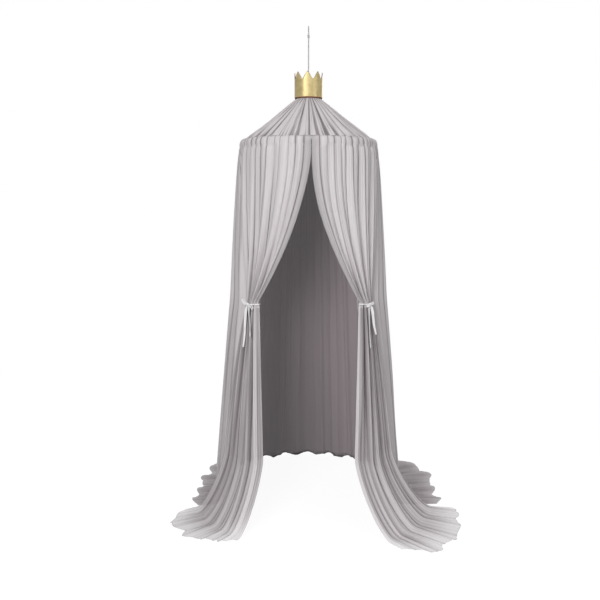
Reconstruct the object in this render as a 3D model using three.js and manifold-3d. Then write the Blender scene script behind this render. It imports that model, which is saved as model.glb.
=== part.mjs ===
// A crown canopy for a bed: a gathered cloth tent that hangs from one cord. A gold crown sleeve sits on
// a pleated roof, a wire hoop spreads the roof and five widths of curtain hang from its rim to the floor.
// The two front widths are drawn aside in ribbon ties and run out over the floor as trains.
// Millimetres, +Z up. Heights are written above the floor, and the group moves them down so that the
// origin is the crest of the hanging loop. Angles go round from the front, -Y, and grow towards -X.
import * as THREE from "three";
import { mergeVertices } from "three/addons/utils/BufferGeometryUtils.js";
import Module from "manifold-3d";

const wasm = await Module();
wasm.setup();

// Driving sizes
const hangHeight = 2128;
const rimHeight = 1642;
const roofHeight = 209;
const hoopRadius = 285;
const seatGap = 0.3;

// Cord, its loop and its knots
const cordRadius = 2.7;
const cordSides = 8;
const cordSteps = 18;
const loopLength = 36;
const loopHalfWidth = 9;
const loopLegSpreadWidth = 3.2;
const loopSteps = 20;
const knotRadius = 6;
const knotHeight = 16;
const knotWraps = 4;
const stopKnotRadius = 8;
const stopKnotHeight = 12;
const stopKnotWraps = 2;
const wrapBulgeShare = 0.16;

// Neck: the washer that carries the cloth, and the cord that binds the cloth over it
const boreClearance = 0.8;
const washerThickness = 6;
const washerChamfer = 1.5;
const neckFootRadius = 21.4;
const neckWaistRadius = 12.5;
const neckWaistHeight = 13;
const neckFrillRadius = 17;
const neckFrillHeight = 38;
const bindingRadius = 1.4;
const bindingTurns = 4;

// Crown sleeve
const crownRadius = 61;
const crownHeight = 79;
const crownPointHeight = 33;
const crownPoints = 8;
const crownTurnAngle = -18;
const stepsPerPoint = 4;
const leatherThickness = 1.5;
const liningThickness = 1;
const liningLipHeight = 4;
const liningSetbackHeight = 1.2;
const flapWidth = 18;
const flapEaseLength = 10;
const rivetHeadRadius = 4.4;
const rivetHeadHeight = 1.6;
const rivetShankRadius = 1.6;
const rivetClearance = 0.2;
const rivetInsetHeight = 17;
const rivetRimShare = 0.8;
const rivetCrownShare = 0.7;
const holeOverrunLength = 7;

// Hoop, its sleeves and the cloth tunnel round it
const wireRadius = 2.5;
const wireSides = 8;
const hoopEndGap = 2;
const hoopSteps = 24;
const sleeveLength = 46;
const sleeveWallThickness = 1;
const tunnelSlackGap = 2.4;
const tunnelWallThickness = 1.4;
const tunnelMouthAngle = 26;
const tunnelArcSteps = 7;

// Cloth: five widths round the tent, with a seam between each two
const gores = 5;
const folds = 5;
const samplesPerFold = 4;
const seamGap = 0.5;
const roofPleats = 6;
const samplesPerPleat = 3;
const pleatShare = 0.15;
const footPleatDepth = 2;
const roofSagDepth = 9;
const roofTopPower = 8;
const clothThickness = 1.6;
const rimFoldDepth = 9;
const hemFoldDepth = 22;
const shoulderWidth = 14;
const shoulderDropHeight = 90;
const bellSpreadWidth = 120;
const bendRadius = 45;
const floorFoldDepth = 15;
const hemScallopDepth = 16;

// Front widths: the heading under the rim, the bundle at the tie and the fan below it
const headingDepth = 100;
const tieHeight = 962;
const tieAngle = 43.5;
const bundleStandOffLength = 57;
const bundleWidth = 66;
const bundleDepth = 44;
const bundleEndShare = 0.3;
const fanAngle = 48.2;
const fanStandOffLength = 60;
const fanWidth = 261;
const fanFoldDepth = 26;
const innerDrawPower = 1.9;
const outerDrawPower = 1.3;
const fanPower = 0.8;
const footHeight = 380;
const slitGap = 10;

// Side widths pass behind the drawn fronts near their ties
const underlapAngle = 6;
const underlapDepth = 28;
const underlapDepthAtTie = 52;
const underlapEaseAngle = 9;
const sideGapAngle = 4;
const underlapFullAngle = 3;
const underlapEndHeight = 230;
const lapStartShare = 0.16;
const lapSpanShare = 0.2;
const insetStartShare = 0.02;
const insetSpanShare = 0.12;

// Cloth on the floor: how far it runs, what share of that length each part of it runs, and which way. The
// fronts lean out in a high bend. A side width runs the given way at its front edge, then straight out.
// A bend power of 1 would be a quarter round, and a higher one leans more evenly.
const bendPower = 1.45;
const frontBendHeight = 300;
const leftBendLength = 140;
const leftTrainLength = 130;
const leftTrainShares = [0.15, 0.6, 1, 1, 0.2];
const leftTrainAngles = [40, 43, 53, 69, 88];
const rightBendLength = 190;
const rightTrainLength = 200;
const rightTrainShares = [0.35, 0.85, 0.8, 0.7, 0.4];
const rightTrainAngles = [43, 47, 56, 73, 90];
const leftSideRunLength = 130;
const leftSideRunAngle = 92;
const leftSideShares = [0.55, 0.3, 0.5, 0.8, 0.3];
const rightSideRunLength = 200;
const rightSideRunAngle = 95;
const rightSideShares = [0.8, 0.6, 0.85, 0.85, 0.15];
const sideTurnShare = 0.5;
const backRunLength = 30;

// Ribbon ties
const ribbonWidth = 13;
const ribbonThickness = 1;
const ribbonGap = 1;
const tieBandSteps = 28;
const bowKnotRadius = 7;
const bowKnotDepth = 5;
const leftLoopLength = 27;
const leftLoopTiltHeight = 19;
const rightLoopLength = 17;
const rightLoopTiltHeight = 5;
const bowLoopDepth = 9;
const bowSteps = 12;
const longTailLength = 178;
const longTailSpreadWidth = 7;
const shortTailLength = 128;
const shortTailSpreadWidth = 22;
const tailLeanDepth = 17;
const tailSteps = 7;
const tailPinchShare = 0.35;
const tailPinchEndShare = 0.35;

// Worked out from the sizes above
const halfTurn = 180;
const widthAngle = (2 * halfTurn) / gores;
const neckHeight = rimHeight + roofHeight;
const hoopFlat = hoopRadius * (1 - Math.cos(Math.PI / hoopSteps / 2));
const sleeveBore = wireRadius + hoopFlat + seatGap;
const sleeveRadius = sleeveBore + sleeveWallThickness;
const tunnelBore = sleeveRadius + tunnelSlackGap;
const tunnelRadius = tunnelBore + tunnelWallThickness;
const clothRadius = hoopRadius + rimFoldDepth / 2;
const clothTop = rimHeight - tunnelRadius - seatGap;
const headingFoot = clothTop - headingDepth;
const tieTop = tieHeight + ribbonWidth;
const tieBottom = tieHeight - ribbonWidth;
const bundleRadius = hoopRadius + bundleStandOffLength;
const fanRadius = bundleRadius + fanStandOffLength;

// Materials
const cord = new THREE.MeshStandardMaterial({ name: "cord", color: 0xe9e4e6, roughness: 0.8 });
const metal = { roughness: 0.35, metalness: 1 };
const steel = new THREE.MeshStandardMaterial({ name: "steel", color: 0xa9acae, ...metal });
const gold = new THREE.MeshStandardMaterial({ name: "gold", color: 0xc9ad62, ...metal });
const suede = new THREE.MeshStandardMaterial({ name: "suede", color: 0x6a3526, roughness: 0.95 });
const beech = new THREE.MeshStandardMaterial({ name: "beech", color: 0xcfa878, roughness: 0.6 });
const voile = new THREE.MeshStandardMaterial({ name: "voile", color: 0xbdb6b9, roughness: 0.95 });
const satin = new THREE.MeshStandardMaterial({ name: "satin", color: 0xf1eef0, roughness: 0.35 });

const canopy = new THREE.Group();
canopy.position.z = -hangHeight;

function add(name, geometry, material) {
  const mesh = new THREE.Mesh(geometry, material);
  mesh.name = name;
  canopy.add(mesh);
  return mesh;
}

const fullTurn = 2 * Math.PI;
const radians = (degrees) => (degrees * Math.PI) / 180;
const degrees = (angle) => (angle * 180) / Math.PI;
const mix = (from, to, share) => from + (to - from) * share;
const clampShare = (share) => Math.min(1, Math.max(0, share));
const smooth = (share) => clampShare(share) ** 2 * (3 - 2 * clampShare(share));

// A value between evenly spaced ones.
function between(values, share) {
  const place = clampShare(share) * (values.length - 1);
  const low = Math.min(Math.floor(place), values.length - 2);
  return mix(values[low], values[low + 1], smooth(place - low));
}

// A point at an angle round the tent, a radius from its axis and a height above the floor.
function around(angle, radius, height) {
  const turn = radians(angle);
  return new THREE.Vector3(-radius * Math.sin(turn), -radius * Math.cos(turn), height);
}

// Closed bodies from loose points and faces, turned round if they face in.
function body(positions, faces) {
  const point = (index) => new THREE.Vector3().fromArray(positions, 3 * index);
  let volume = 0;
  for (let i = 0; i < faces.length; i += 3)
    volume += point(faces[i]).dot(point(faces[i + 1]).cross(point(faces[i + 2])));
  if (volume < 0) faces.reverse();
  const geometry = new THREE.BufferGeometry();
  geometry.setAttribute("position", new THREE.Float32BufferAttribute(positions, 3));
  geometry.setIndex(faces);
  return geometry;
}

// Manifold solids from closed geometries, and back.
function solidOf(geometry) {
  const bare = geometry.clone();
  bare.deleteAttribute("normal");
  bare.deleteAttribute("uv");
  const merged = mergeVertices(bare);
  const vertProperties = merged.attributes.position.array;
  const triVerts = new Uint32Array(merged.index.array);
  return new wasm.Manifold(new wasm.Mesh({ numProp: 3, vertProperties, triVerts }));
}

function geometryOf(solid) {
  const mesh = solid.getMesh();
  const geometry = new THREE.BufferGeometry();
  geometry.setAttribute("position", new THREE.BufferAttribute(mesh.vertProperties, 3));
  geometry.setIndex(new THREE.BufferAttribute(mesh.triVerts, 1));
  return geometry;
}

// A closed wall between an outer and an inner grid of points. A ring's last column meets its first.
function wallBetween(columns, rows, outerAt, innerAt, ring = false) {
  const across = ring ? columns : columns + 1;
  const layer = across * (rows + 1);
  const positions = [];
  for (const pointAt of [outerAt, innerAt])
    for (let row = 0; row <= rows; row++)
      for (let column = 0; column < across; column++) positions.push(...pointAt(column, row).toArray());
  const outer = (column, row) => row * across + (column % across);
  const inner = (column, row) => layer + outer(column, row);
  const faces = [];
  const quad = (a, b, c, d) => faces.push(a, b, c, a, c, d);
  for (let column = 0; column < columns; column++) {
    const next = column + 1;
    for (let row = 0; row < rows; row++) {
      quad(outer(column, row), outer(column, row + 1), outer(next, row + 1), outer(next, row));
      quad(inner(column, row), inner(next, row), inner(next, row + 1), inner(column, row + 1));
    }
    quad(outer(column, 0), outer(next, 0), inner(next, 0), inner(column, 0));
    quad(outer(column, rows), inner(column, rows), inner(next, rows), outer(next, rows));
  }
  for (let row = 0; row < rows && !ring; row++) {
    quad(outer(0, row), inner(0, row), inner(0, row + 1), outer(0, row + 1));
    quad(outer(columns, row), outer(columns, row + 1), inner(columns, row + 1), inner(columns, row));
  }
  return body(positions, faces);
}

// A sheet of one thickness on both sides of a middle surface, which is a function of column and row.
function sheet(columns, rows, middleAt, thickness) {
  const offsetAt = (column, row, offset) => {
    const across = middleAt(column + 1, row).sub(middleAt(column - 1, row));
    const along = middleAt(column, Math.min(row + 1, rows)).sub(middleAt(column, Math.max(row - 1, 0)));
    return middleAt(column, row).addScaledVector(across.cross(along).normalize(), offset);
  };
  return wallBetween(
    columns,
    rows,
    (column, row) => offsetAt(column, row, thickness / 2),
    (column, row) => offsetAt(column, row, -thickness / 2),
  );
}

// A lathe about the tent's axis. Points are [radius, height].
function turned(points, segments) {
  const profile = points.map(([radius, height]) => new THREE.Vector2(radius, height));
  const geometry = new THREE.LatheGeometry(profile, segments).rotateX(Math.PI / 2);
  return body(Array.from(geometry.attributes.position.array), Array.from(geometry.index.array));
}

// A round section drawn along a curve.
function drawnAlong(curve, steps, radius, sides, bore = 0) {
  const section = new THREE.Shape().absarc(0, 0, radius, 0, fullTurn);
  if (bore > 0) section.holes.push(new THREE.Path().absarc(0, 0, bore, 0, fullTurn));
  return new THREE.ExtrudeGeometry(section, {
    steps,
    curveSegments: sides / 2,
    bevelEnabled: false,
    extrudePath: curve,
  });
}

// The hanging cord: an eye for the hook, edge on to the front, the wrapped knot that closes it, the taut
// stretch and the stop knot.
const stopKnotTop = neckHeight - washerThickness / 2 - seatGap;
const loopKnotTop = hangHeight + cordRadius - loopLength;

function wrappedKnot(radius, height, wraps, top) {
  const pointsPerWrap = 4;
  const count = wraps * pointsPerWrap;
  const profile = [[0, top - height]];
  for (let i = 0; i <= count; i++) {
    const bulge = Math.abs(Math.sin((Math.PI * i) / pointsPerWrap));
    profile.push([radius * (1 - wrapBulgeShare * (1 - bulge)), top - height * (1 - i / count)]);
  }
  profile.push([0, top]);
  return turned(profile, 2 * cordSides);
}

function hangingLoop() {
  const foot = loopKnotTop + seatGap;
  const rise = hangHeight + cordRadius - foot;
  const sideShares = [
    [1, 0],
    [1, 0.12],
    [1.5, 0.34],
    [2.5, 0.62],
    [2.55, 0.78],
    [1.6, 0.94],
  ];
  const legs = [-1, 1].map((hand) =>
    sideShares.map(([spread, up]) => {
      const x = Math.min(loopLegSpreadWidth * spread, loopHalfWidth);
      return new THREE.Vector3(0, hand * x, foot + rise * up);
    }),
  );
  const crest = new THREE.Vector3(0, 0, hangHeight + cordRadius);
  const route = new THREE.CatmullRomCurve3([...legs[0], crest, ...legs[1].reverse()]);
  return drawnAlong(route, loopSteps, cordRadius, cordSides);
}

const cordTop = new THREE.Vector3(0, 0, loopKnotTop - knotHeight - seatGap);
const cordFoot = new THREE.Vector3(0, 0, stopKnotTop + seatGap);
add("hanging_loop", hangingLoop(), cord);
add("loop_knot", wrappedKnot(knotRadius, knotHeight, knotWraps, loopKnotTop), cord);
add(
  "suspension_cord",
  drawnAlong(new THREE.LineCurve3(cordTop, cordFoot), cordSteps, cordRadius, cordSides),
  cord,
);
add("stop_knot", wrappedKnot(stopKnotRadius, stopKnotHeight, stopKnotWraps, stopKnotTop), cord);

// Neck: the washer on the stop knot and the cord wound round the gathered cloth above it
const washerRadius = neckFootRadius - clothThickness - seatGap;
const washerFoot = stopKnotTop + seatGap;
const bindingFoot = neckHeight + neckWaistHeight;
const bindingHeight = 2 * bindingRadius * bindingTurns;
const waistFoot = bindingFoot - clothThickness;
const waistHeight = bindingHeight + 2 * clothThickness;

function topWasher() {
  const bore = cordRadius + boreClearance;
  const top = washerFoot + washerThickness;
  return turned(
    [
      [bore, washerFoot],
      [washerRadius - washerChamfer, washerFoot],
      [washerRadius, washerFoot + washerChamfer],
      [washerRadius, top - 2 * washerChamfer],
      [washerRadius - 2 * washerChamfer, top],
      [bore, top],
      [bore, washerFoot],
    ],
    4 * cordSides,
  );
}

function neckBinding() {
  const bore = neckWaistRadius + clothThickness / 2 + seatGap;
  const arcSteps = 3;
  const profile = [];
  for (let turn = 0; turn < bindingTurns; turn++)
    for (let step = 0; step <= arcSteps; step++) {
      const angle = Math.PI * (step / arcSteps - 0.5);
      const height = bindingFoot + bindingRadius * (2 * turn + 1 + Math.sin(angle));
      profile.push([bore + bindingRadius * (1 + Math.cos(angle)), height]);
    }
  profile.push([bore, bindingFoot + bindingHeight], [bore, bindingFoot], profile[0]);
  return turned(profile, 3 * cordSides);
}

add("top_washer", topWasher(), beech);
add("neck_binding", neckBinding(), cord);

// Hoop: two half rings of wire in two sleeves, at the bottom of the tunnel that the rim is sewn into
const tunnelHalfAngle = halfTurn - tunnelMouthAngle;
const tunnelArcStep = (2 * tunnelHalfAngle) / tunnelArcSteps;
const tunnelFlatShare = Math.cos(radians(tunnelArcStep / 2));
const tunnelFloor = tunnelBore * tunnelFlatShare;
const tunnelTop = tunnelRadius * tunnelFlatShare;
const hoopHeight = rimHeight - (tunnelFloor - sleeveRadius - seatGap);

class RimArc extends THREE.Curve {
  constructor(from, to) {
    super();
    this.from = from;
    this.to = to;
  }
  getPoint(share, target = new THREE.Vector3()) {
    return target.copy(around(mix(this.from, this.to, share), hoopRadius, hoopHeight));
  }
}

const halfEndGap = degrees(hoopEndGap / 2 / hoopRadius);
const halfSleeve = degrees(sleeveLength / 2 / hoopRadius);
const sleeveSteps = 2;
add(
  "hoop_left",
  drawnAlong(new RimArc(halfEndGap, halfTurn - halfEndGap), hoopSteps, wireRadius, wireSides),
  steel,
);
add(
  "hoop_right",
  drawnAlong(new RimArc(halfTurn + halfEndGap, 2 * halfTurn - halfEndGap), hoopSteps, wireRadius, wireSides),
  steel,
);
for (const [name, centre] of [["hoop_sleeve_front", 0], ["hoop_sleeve_back", halfTurn]])
  add(
    name,
    drawnAlong(
      new RimArc(centre - halfSleeve, centre + halfSleeve),
      sleeveSteps,
      sleeveRadius,
      wireSides,
      sleeveBore,
    ),
    steel,
  );

function rimTunnel() {
  const profile = [];
  for (const radius of [tunnelRadius, tunnelBore]) {
    const arc = [];
    for (let step = 0; step <= tunnelArcSteps; step++) {
      const angle = radians(mix(-tunnelHalfAngle, tunnelHalfAngle, step / tunnelArcSteps));
      arc.push([hoopRadius + radius * Math.cos(angle), rimHeight + radius * Math.sin(angle)]);
    }
    profile.push(...(radius === tunnelBore ? arc.reverse() : arc));
  }
  profile.push(profile[0]);
  return turned(profile, 2 * hoopSteps);
}
add("rim_tunnel", rimTunnel(), voile);

// Roof: pleated gores from the tunnel up to the neck, where they are bound and end in a frill
const footLine = {
  radius: hoopRadius,
  height: rimHeight + tunnelTop + seatGap + clothThickness / 2 + footPleatDepth,
};
const roofSlope = Math.atan2(neckHeight - footLine.height, footLine.radius - neckFootRadius);
const roofShares = [0, 0.12, 0.45, 1];

// The middle line of the roof at a share of the way up: radius, height and half the depth of a pleat.
function roofLine(share) {
  const radius = mix(footLine.radius, neckFootRadius, share);
  const sag = roofSagDepth * Math.sin(Math.PI * Math.sqrt(share));
  const pitch = (fullTurn * radius) / (gores * roofPleats);
  const fade = smooth(share / roofShares[1]);
  const depth = mix(footPleatDepth, pitch * pleatShare, fade) * (1 - share ** roofTopPower);
  return { radius, height: mix(footLine.height, neckHeight, share) - sag, depth };
}

const roofRows = [
  ...roofShares.map(roofLine),
  { radius: neckWaistRadius, height: waistFoot, depth: 0 },
  { radius: neckWaistRadius, height: waistFoot + waistHeight, depth: 0 },
  { radius: neckFrillRadius, height: neckHeight + neckFrillHeight, depth: 0 },
];
const roofColumns = roofPleats * samplesPerPleat;

function roofGore(start) {
  const middleAt = (column, row) => {
    const { radius, height, depth } = roofRows[row];
    const seam = degrees(seamGap / 2 / radius);
    const share = column / roofColumns;
    const wave = -Math.cos(fullTurn * roofPleats * share) * depth;
    const angle = start + mix(seam, widthAngle - seam, share);
    return around(angle, radius + wave * Math.sin(roofSlope), height + wave * Math.cos(roofSlope));
  };
  return sheet(roofColumns, roofRows.length - 1, middleAt, clothThickness);
}

const widthNames = ["front_left", "side_left", "back", "side_right", "front_right"];
widthNames.forEach((name, index) => add(`roof_${name}`, roofGore(index * widthAngle), voile));

// Crown: a leather strip with eight points, rolled to a sleeve whose end laps over its start at the back
const liningInner = crownRadius - leatherThickness - seatGap - liningThickness;
const seatShare = (footLine.radius - liningInner) / (footLine.radius - neckFootRadius);
const seatLine = roofLine(seatShare);
const crownFoot = seatLine.height + (seatLine.depth + clothThickness / 2) / Math.cos(roofSlope) + seatGap;
const pointAngle = 360 / crownPoints;
const flapAngle = degrees(flapWidth / crownRadius);
const easeAngle = degrees(flapEaseLength / crownRadius);
const lapStep = leatherThickness + seatGap;

// The height of the crown's upper edge over its foot, from a valley between two points to a tip.
function crownEdge(angle, setback = 0) {
  const away = Math.abs(((angle % pointAngle) + pointAngle) % pointAngle - pointAngle / 2);
  return crownHeight + crownPointHeight * (1 - away / (pointAngle / 2)) - setback;
}

function rivetAt(height) {
  const outerFace = crownRadius + lapStep + seatGap;
  const innerFlat = liningInner * Math.cos(Math.PI / crownPoints / stepsPerPoint);
  const innerFace = Math.sqrt(innerFlat ** 2 - rivetHeadRadius ** 2) - seatGap;
  const profile = [
    [0, innerFace - rivetHeadHeight],
    [rivetHeadRadius * rivetRimShare, innerFace - rivetHeadHeight],
    [rivetHeadRadius, innerFace],
    [rivetShankRadius, innerFace],
    [rivetShankRadius, outerFace],
    [rivetHeadRadius, outerFace],
    [rivetHeadRadius * rivetRimShare, outerFace + rivetHeadHeight * rivetCrownShare],
    [0, outerFace + rivetHeadHeight],
  ];
  return placeRivet(turned(profile, 2 * cordSides), height);
}

function rivetHole(height) {
  const radius = rivetShankRadius + rivetClearance;
  const profile = [
    [0, 0],
    [radius, 0],
    [radius, crownRadius + holeOverrunLength],
    [0, crownRadius + holeOverrunLength],
  ];
  return solidOf(placeRivet(turned(profile, 2 * cordSides), height));
}

// Lays a piece that is turned about +Z along the radius through the middle of the lap, at the back.
function placeRivet(geometry, height) {
  geometry.rotateX(-Math.PI / 2);
  geometry.rotateZ(radians(-flapAngle / 2));
  return geometry.translate(0, 0, height);
}

function withRivetHoles(geometry) {
  let solid = solidOf(geometry);
  for (const height of rivetHeights) solid = solid.subtract(rivetHole(height));
  return geometryOf(solid);
}

const rivetHeights = [crownFoot + rivetInsetHeight, crownFoot + crownHeight - rivetInsetHeight];
const bandTurn = 2 * halfTurn + flapAngle;
const bandColumns = crownPoints * stepsPerPoint;

// Columns fall on the tips and valleys, and the lap has columns of its own.
function bandAngles() {
  const angles = [];
  for (let column = 0; column <= bandColumns; column++) angles.push((2 * halfTurn * column) / bandColumns);
  angles.splice(angles.length - 1, 0, 2 * halfTurn - easeAngle);
  angles.push(2 * halfTurn + flapAngle / 2, bandTurn);
  return angles.sort((a, b) => a - b);
}

function crownBand() {
  const angles = bandAngles();
  const foot = crownFoot + liningLipHeight;
  const at = (offset) => (column, row) => {
    const angle = angles[column];
    const lift = lapStep * smooth((angle - 2 * halfTurn + easeAngle) / easeAngle);
    const height = row === 0 ? foot : crownFoot + crownEdge(angle);
    return around(halfTurn + angle, crownRadius + lift + offset, height);
  };
  return wallBetween(angles.length - 1, 1, at(0), at(-leatherThickness));
}

function crownLining() {
  const at = (radius) => (column, row) => {
    const angle = (2 * halfTurn * column) / bandColumns;
    const height = row === 0 ? 0 : crownEdge(angle, liningSetbackHeight);
    return around(halfTurn + angle, radius, crownFoot + height);
  };
  return wallBetween(bandColumns, 1, at(liningInner + liningThickness), at(liningInner), true);
}

// The crown is turned on the roof until one point looks out to the front.
const addToCrown = (name, geometry, material) =>
  add(name, geometry.rotateZ(radians(-crownTurnAngle)), material);
addToCrown("crown_band", withRivetHoles(crownBand()), gold);
addToCrown("crown_lining", withRivetHoles(crownLining()), suede);
addToCrown("crown_rivet_lower", rivetAt(rivetHeights[0]), steel);
addToCrown("crown_rivet_upper", rivetAt(rivetHeights[1]), steel);

// Curtain cloth. One wave gives every width its folds, with a seam in the trough at each side. Below the
// hoop the gathered cloth stands out in a round shoulder, and from there it spreads evenly to the floor.
const columns = folds * samplesPerFold;
const foldWave = (share) => -Math.cos(fullTurn * folds * share);
const drop = clothTop - bendRadius;
const shoulder = (height) =>
  shoulderWidth * Math.sin((Math.PI / 2) * clampShare((clothTop - height) / shoulderDropHeight));
const bellRadius = (height) =>
  clothRadius + shoulder(height) + (bellSpreadWidth * (clothTop - height)) / drop;

// How a front width lies at a height: the angles of its two edges, its radius and half its fold depth.
function frontSection(height) {
  const above = clampShare((clothTop - height) / (clothTop - tieTop));
  const below = clampShare((tieBottom - height) / (tieBottom - frontBendHeight)) ** fanPower;
  const halfBundle = degrees(bundleWidth / 2 / bundleRadius);
  const halfFan = degrees(fanWidth / 2 / fanRadius);
  const centre = mix(tieAngle, fanAngle, below);
  const half = mix(halfBundle, halfFan, below);
  const slit = degrees(slitGap / 2 / clothRadius);
  const seam = degrees(seamGap / 2 / clothRadius);
  const gathered = above ** innerDrawPower * (1 - below);
  return {
    inner: mix(slit, centre - half, above ** innerDrawPower),
    outer: mix(widthAngle - seam, centre + half, above ** outerDrawPower),
    radius: mix(mix(clothRadius + shoulder(height), bundleRadius, above), fanRadius, below),
    depth: mix(mix(rimFoldDepth, bundleDepth, above ** innerDrawPower), fanFoldDepth, below) / 2,
    gathered,
  };
}

// A point of a front width. The bundle is rounded, so its folds are shallower at both sides.
function frontPoint(hand, share, height, direction = 0) {
  const { inner, outer, radius, depth, gathered } = frontSection(height);
  const roundShare = Math.sqrt(1 - (1 - bundleEndShare ** 2) * (2 * clampShare(share) - 1) ** 2);
  const wave = depth * foldWave(share) * mix(1, roundShare, gathered);
  return around(hand * mix(inner, outer, share), radius + wave, height);
}

function frontCloth(hand, heights) {
  return sheet(
    columns,
    heights.length - 1,
    (column, row) => frontPoint(hand, column / columns, heights[row]),
    clothThickness,
  );
}

const upperShares = [0, 0.2, 0.45, 0.7, 0.9];
const lowerShares = [0, 0.13, 0.42, 1];
const drapeHeights = [
  ...upperShares.map((share) => mix(headingFoot - seatGap, tieTop, share)),
  tieTop,
  ...lowerShares.map((share) => mix(tieBottom, footHeight + seatGap, share)),
];
const footHeights = [footHeight, frontBendHeight + seatGap];
const headingHeights = [clothTop, headingFoot];

// Cloth that turns on the floor: a quarter bend of a height and a length and then a run outwards, with its
// folds as ripples. Rows up to bendSteps bend, the rest run. It stands where the drop ends, and away is the
// unit way it runs.
const bendSteps = 4;
const runSteps = 1;
function floorPoint({ stand, outward, away, wave, halfDepth, bend, run }, row) {
  const turn = radians((Math.min(row, bendSteps) / bendSteps) * 90);
  const runShare = Math.max(0, row - bendSteps) / runSteps;
  const level = mix(halfDepth, floorFoldDepth / 2, Math.sin(turn));
  const reach = bend.length * (1 - Math.max(0, Math.cos(turn)) ** bendPower) + run * runShare;
  const rise = bend.height * (1 - Math.sin(turn) ** bendPower);
  const lift = rise + (level + clothThickness / 2) * Math.sin(turn);
  const point = stand.clone().setZ(lift + level * wave * Math.sin(turn));
  return point.addScaledVector(away, reach).addScaledVector(outward, level * wave * Math.cos(turn));
}

function train(hand, bendLength, length, shares, angles) {
  const { inner, outer, radius, depth } = frontSection(frontBendHeight);
  const middleAt = (column, row) => {
    const share = column / columns;
    const angle = hand * mix(inner, outer, share);
    const wave = foldWave(share);
    const place = {
      stand: around(angle, radius, 0),
      outward: around(angle, 1, 0),
      away: around(hand * between(angles, share), 1, 0),
      wave,
      halfDepth: depth,
      bend: { height: frontBendHeight, length: bendLength },
      run: length * between(shares, share) + hemScallopDepth * wave,
    };
    const point = floorPoint(place, row);
    return row === 0 ? point.setZ(frontBendHeight - seatGap) : point;
  };
  return sheet(columns, bendSteps + runSteps, middleAt, clothThickness);
}

// A side width. Its front edge follows the drawn front width and passes behind it near the tie.
function sideEdge(height) {
  const above = clampShare((clothTop - height) / (clothTop - tieTop));
  const endShare = smooth(height / underlapEndHeight);
  const lapped = smooth((above - lapStartShare) / lapSpanShare) * endShare;
  const set = smooth((above - insetStartShare) / insetSpanShare) * endShare;
  const { outer } = frontSection(height);
  const free = mix(widthAngle, outer + sideGapAngle, smooth(above));
  return {
    edge: Math.min(free, mix(free, outer - underlapAngle, lapped)),
    fullAt: outer + underlapFullAngle,
    inset: set * mix(underlapDepth, underlapDepthAtTie, above),
  };
}

function sidePoint(hand, share, height) {
  const { edge, fullAt, inset } = sideEdge(height);
  const seam = degrees(seamGap / 2 / clothRadius);
  const angle = mix(edge + seam, 2 * widthAngle - seam, share);
  const behind = inset * smooth((fullAt + underlapEaseAngle - angle) / underlapEaseAngle);
  const depth = mix(rimFoldDepth, hemFoldDepth, (clothTop - height) / drop) / 2;
  const radius = bellRadius(height) - behind + depth * foldWave(share);
  return around(hand * angle, radius, height);
}

function backPoint(share, height) {
  const seam = degrees(seamGap / 2 / clothRadius);
  const angle = mix(2 * widthAngle + seam, 3 * widthAngle - seam, share);
  const depth = mix(rimFoldDepth, hemFoldDepth, (clothTop - height) / drop) / 2;
  return around(angle, bellRadius(height) + depth * foldWave(share), height);
}

const dropShares = [0, 0.05, 0.14, 0.32, 0.55, 0.8, 1];

// A width that hangs to the floor, bends and runs out. pointAt gives its drop by share and height, runAt
// gives how far it runs by share, and awayAt the way by share and the way straight out.
function hangingWidth(pointAt, runAt, awayAt) {
  const bendRow = dropShares.length - 1;
  const middleAt = (column, row) => {
    const share = column / columns;
    if (row < bendRow) return pointAt(share, mix(clothTop, bendRadius, dropShares[row]));
    const stand = pointAt(share, bendRadius);
    const outward = stand.clone().setZ(0).normalize();
    const wave = foldWave(share);
    const halfDepth = hemFoldDepth / 2;
    stand.addScaledVector(outward, -halfDepth * wave);
    const away = awayAt(share, outward);
    const run = runAt(share) + hemScallopDepth * wave;
    const bend = { height: bendRadius, length: bendRadius };
    return floorPoint({ stand, outward, away, wave, halfDepth, bend, run }, row - bendRow);
  };
  return sheet(columns, bendRow + bendSteps + runSteps, middleAt, clothThickness);
}

function sideWidth(hand, length, frontAngle, shares) {
  const front = around(hand * frontAngle, 1, 0);
  return hangingWidth(
    (share, height) => sidePoint(hand, share, height),
    (share) => length * between(shares, share),
    (share, outward) => front.clone().lerp(outward, smooth(share / sideTurnShare)).normalize(),
  );
}

// A ribbon along a route, which is a function of its share. broad is the way it is wide, and it starts
// pinched to a share of its width where it leaves a knot.
function ribbon(routeAt, broad, steps, pinchShare = 1) {
  const middleAt = (column, row) => {
    const share = column / steps;
    const width = ribbonWidth * mix(pinchShare, 1, smooth(share / tailPinchEndShare));
    return routeAt(share).addScaledVector(broad, (row - 0.5) * width);
  };
  return sheet(steps, 1, middleAt, ribbonThickness);
}

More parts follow.
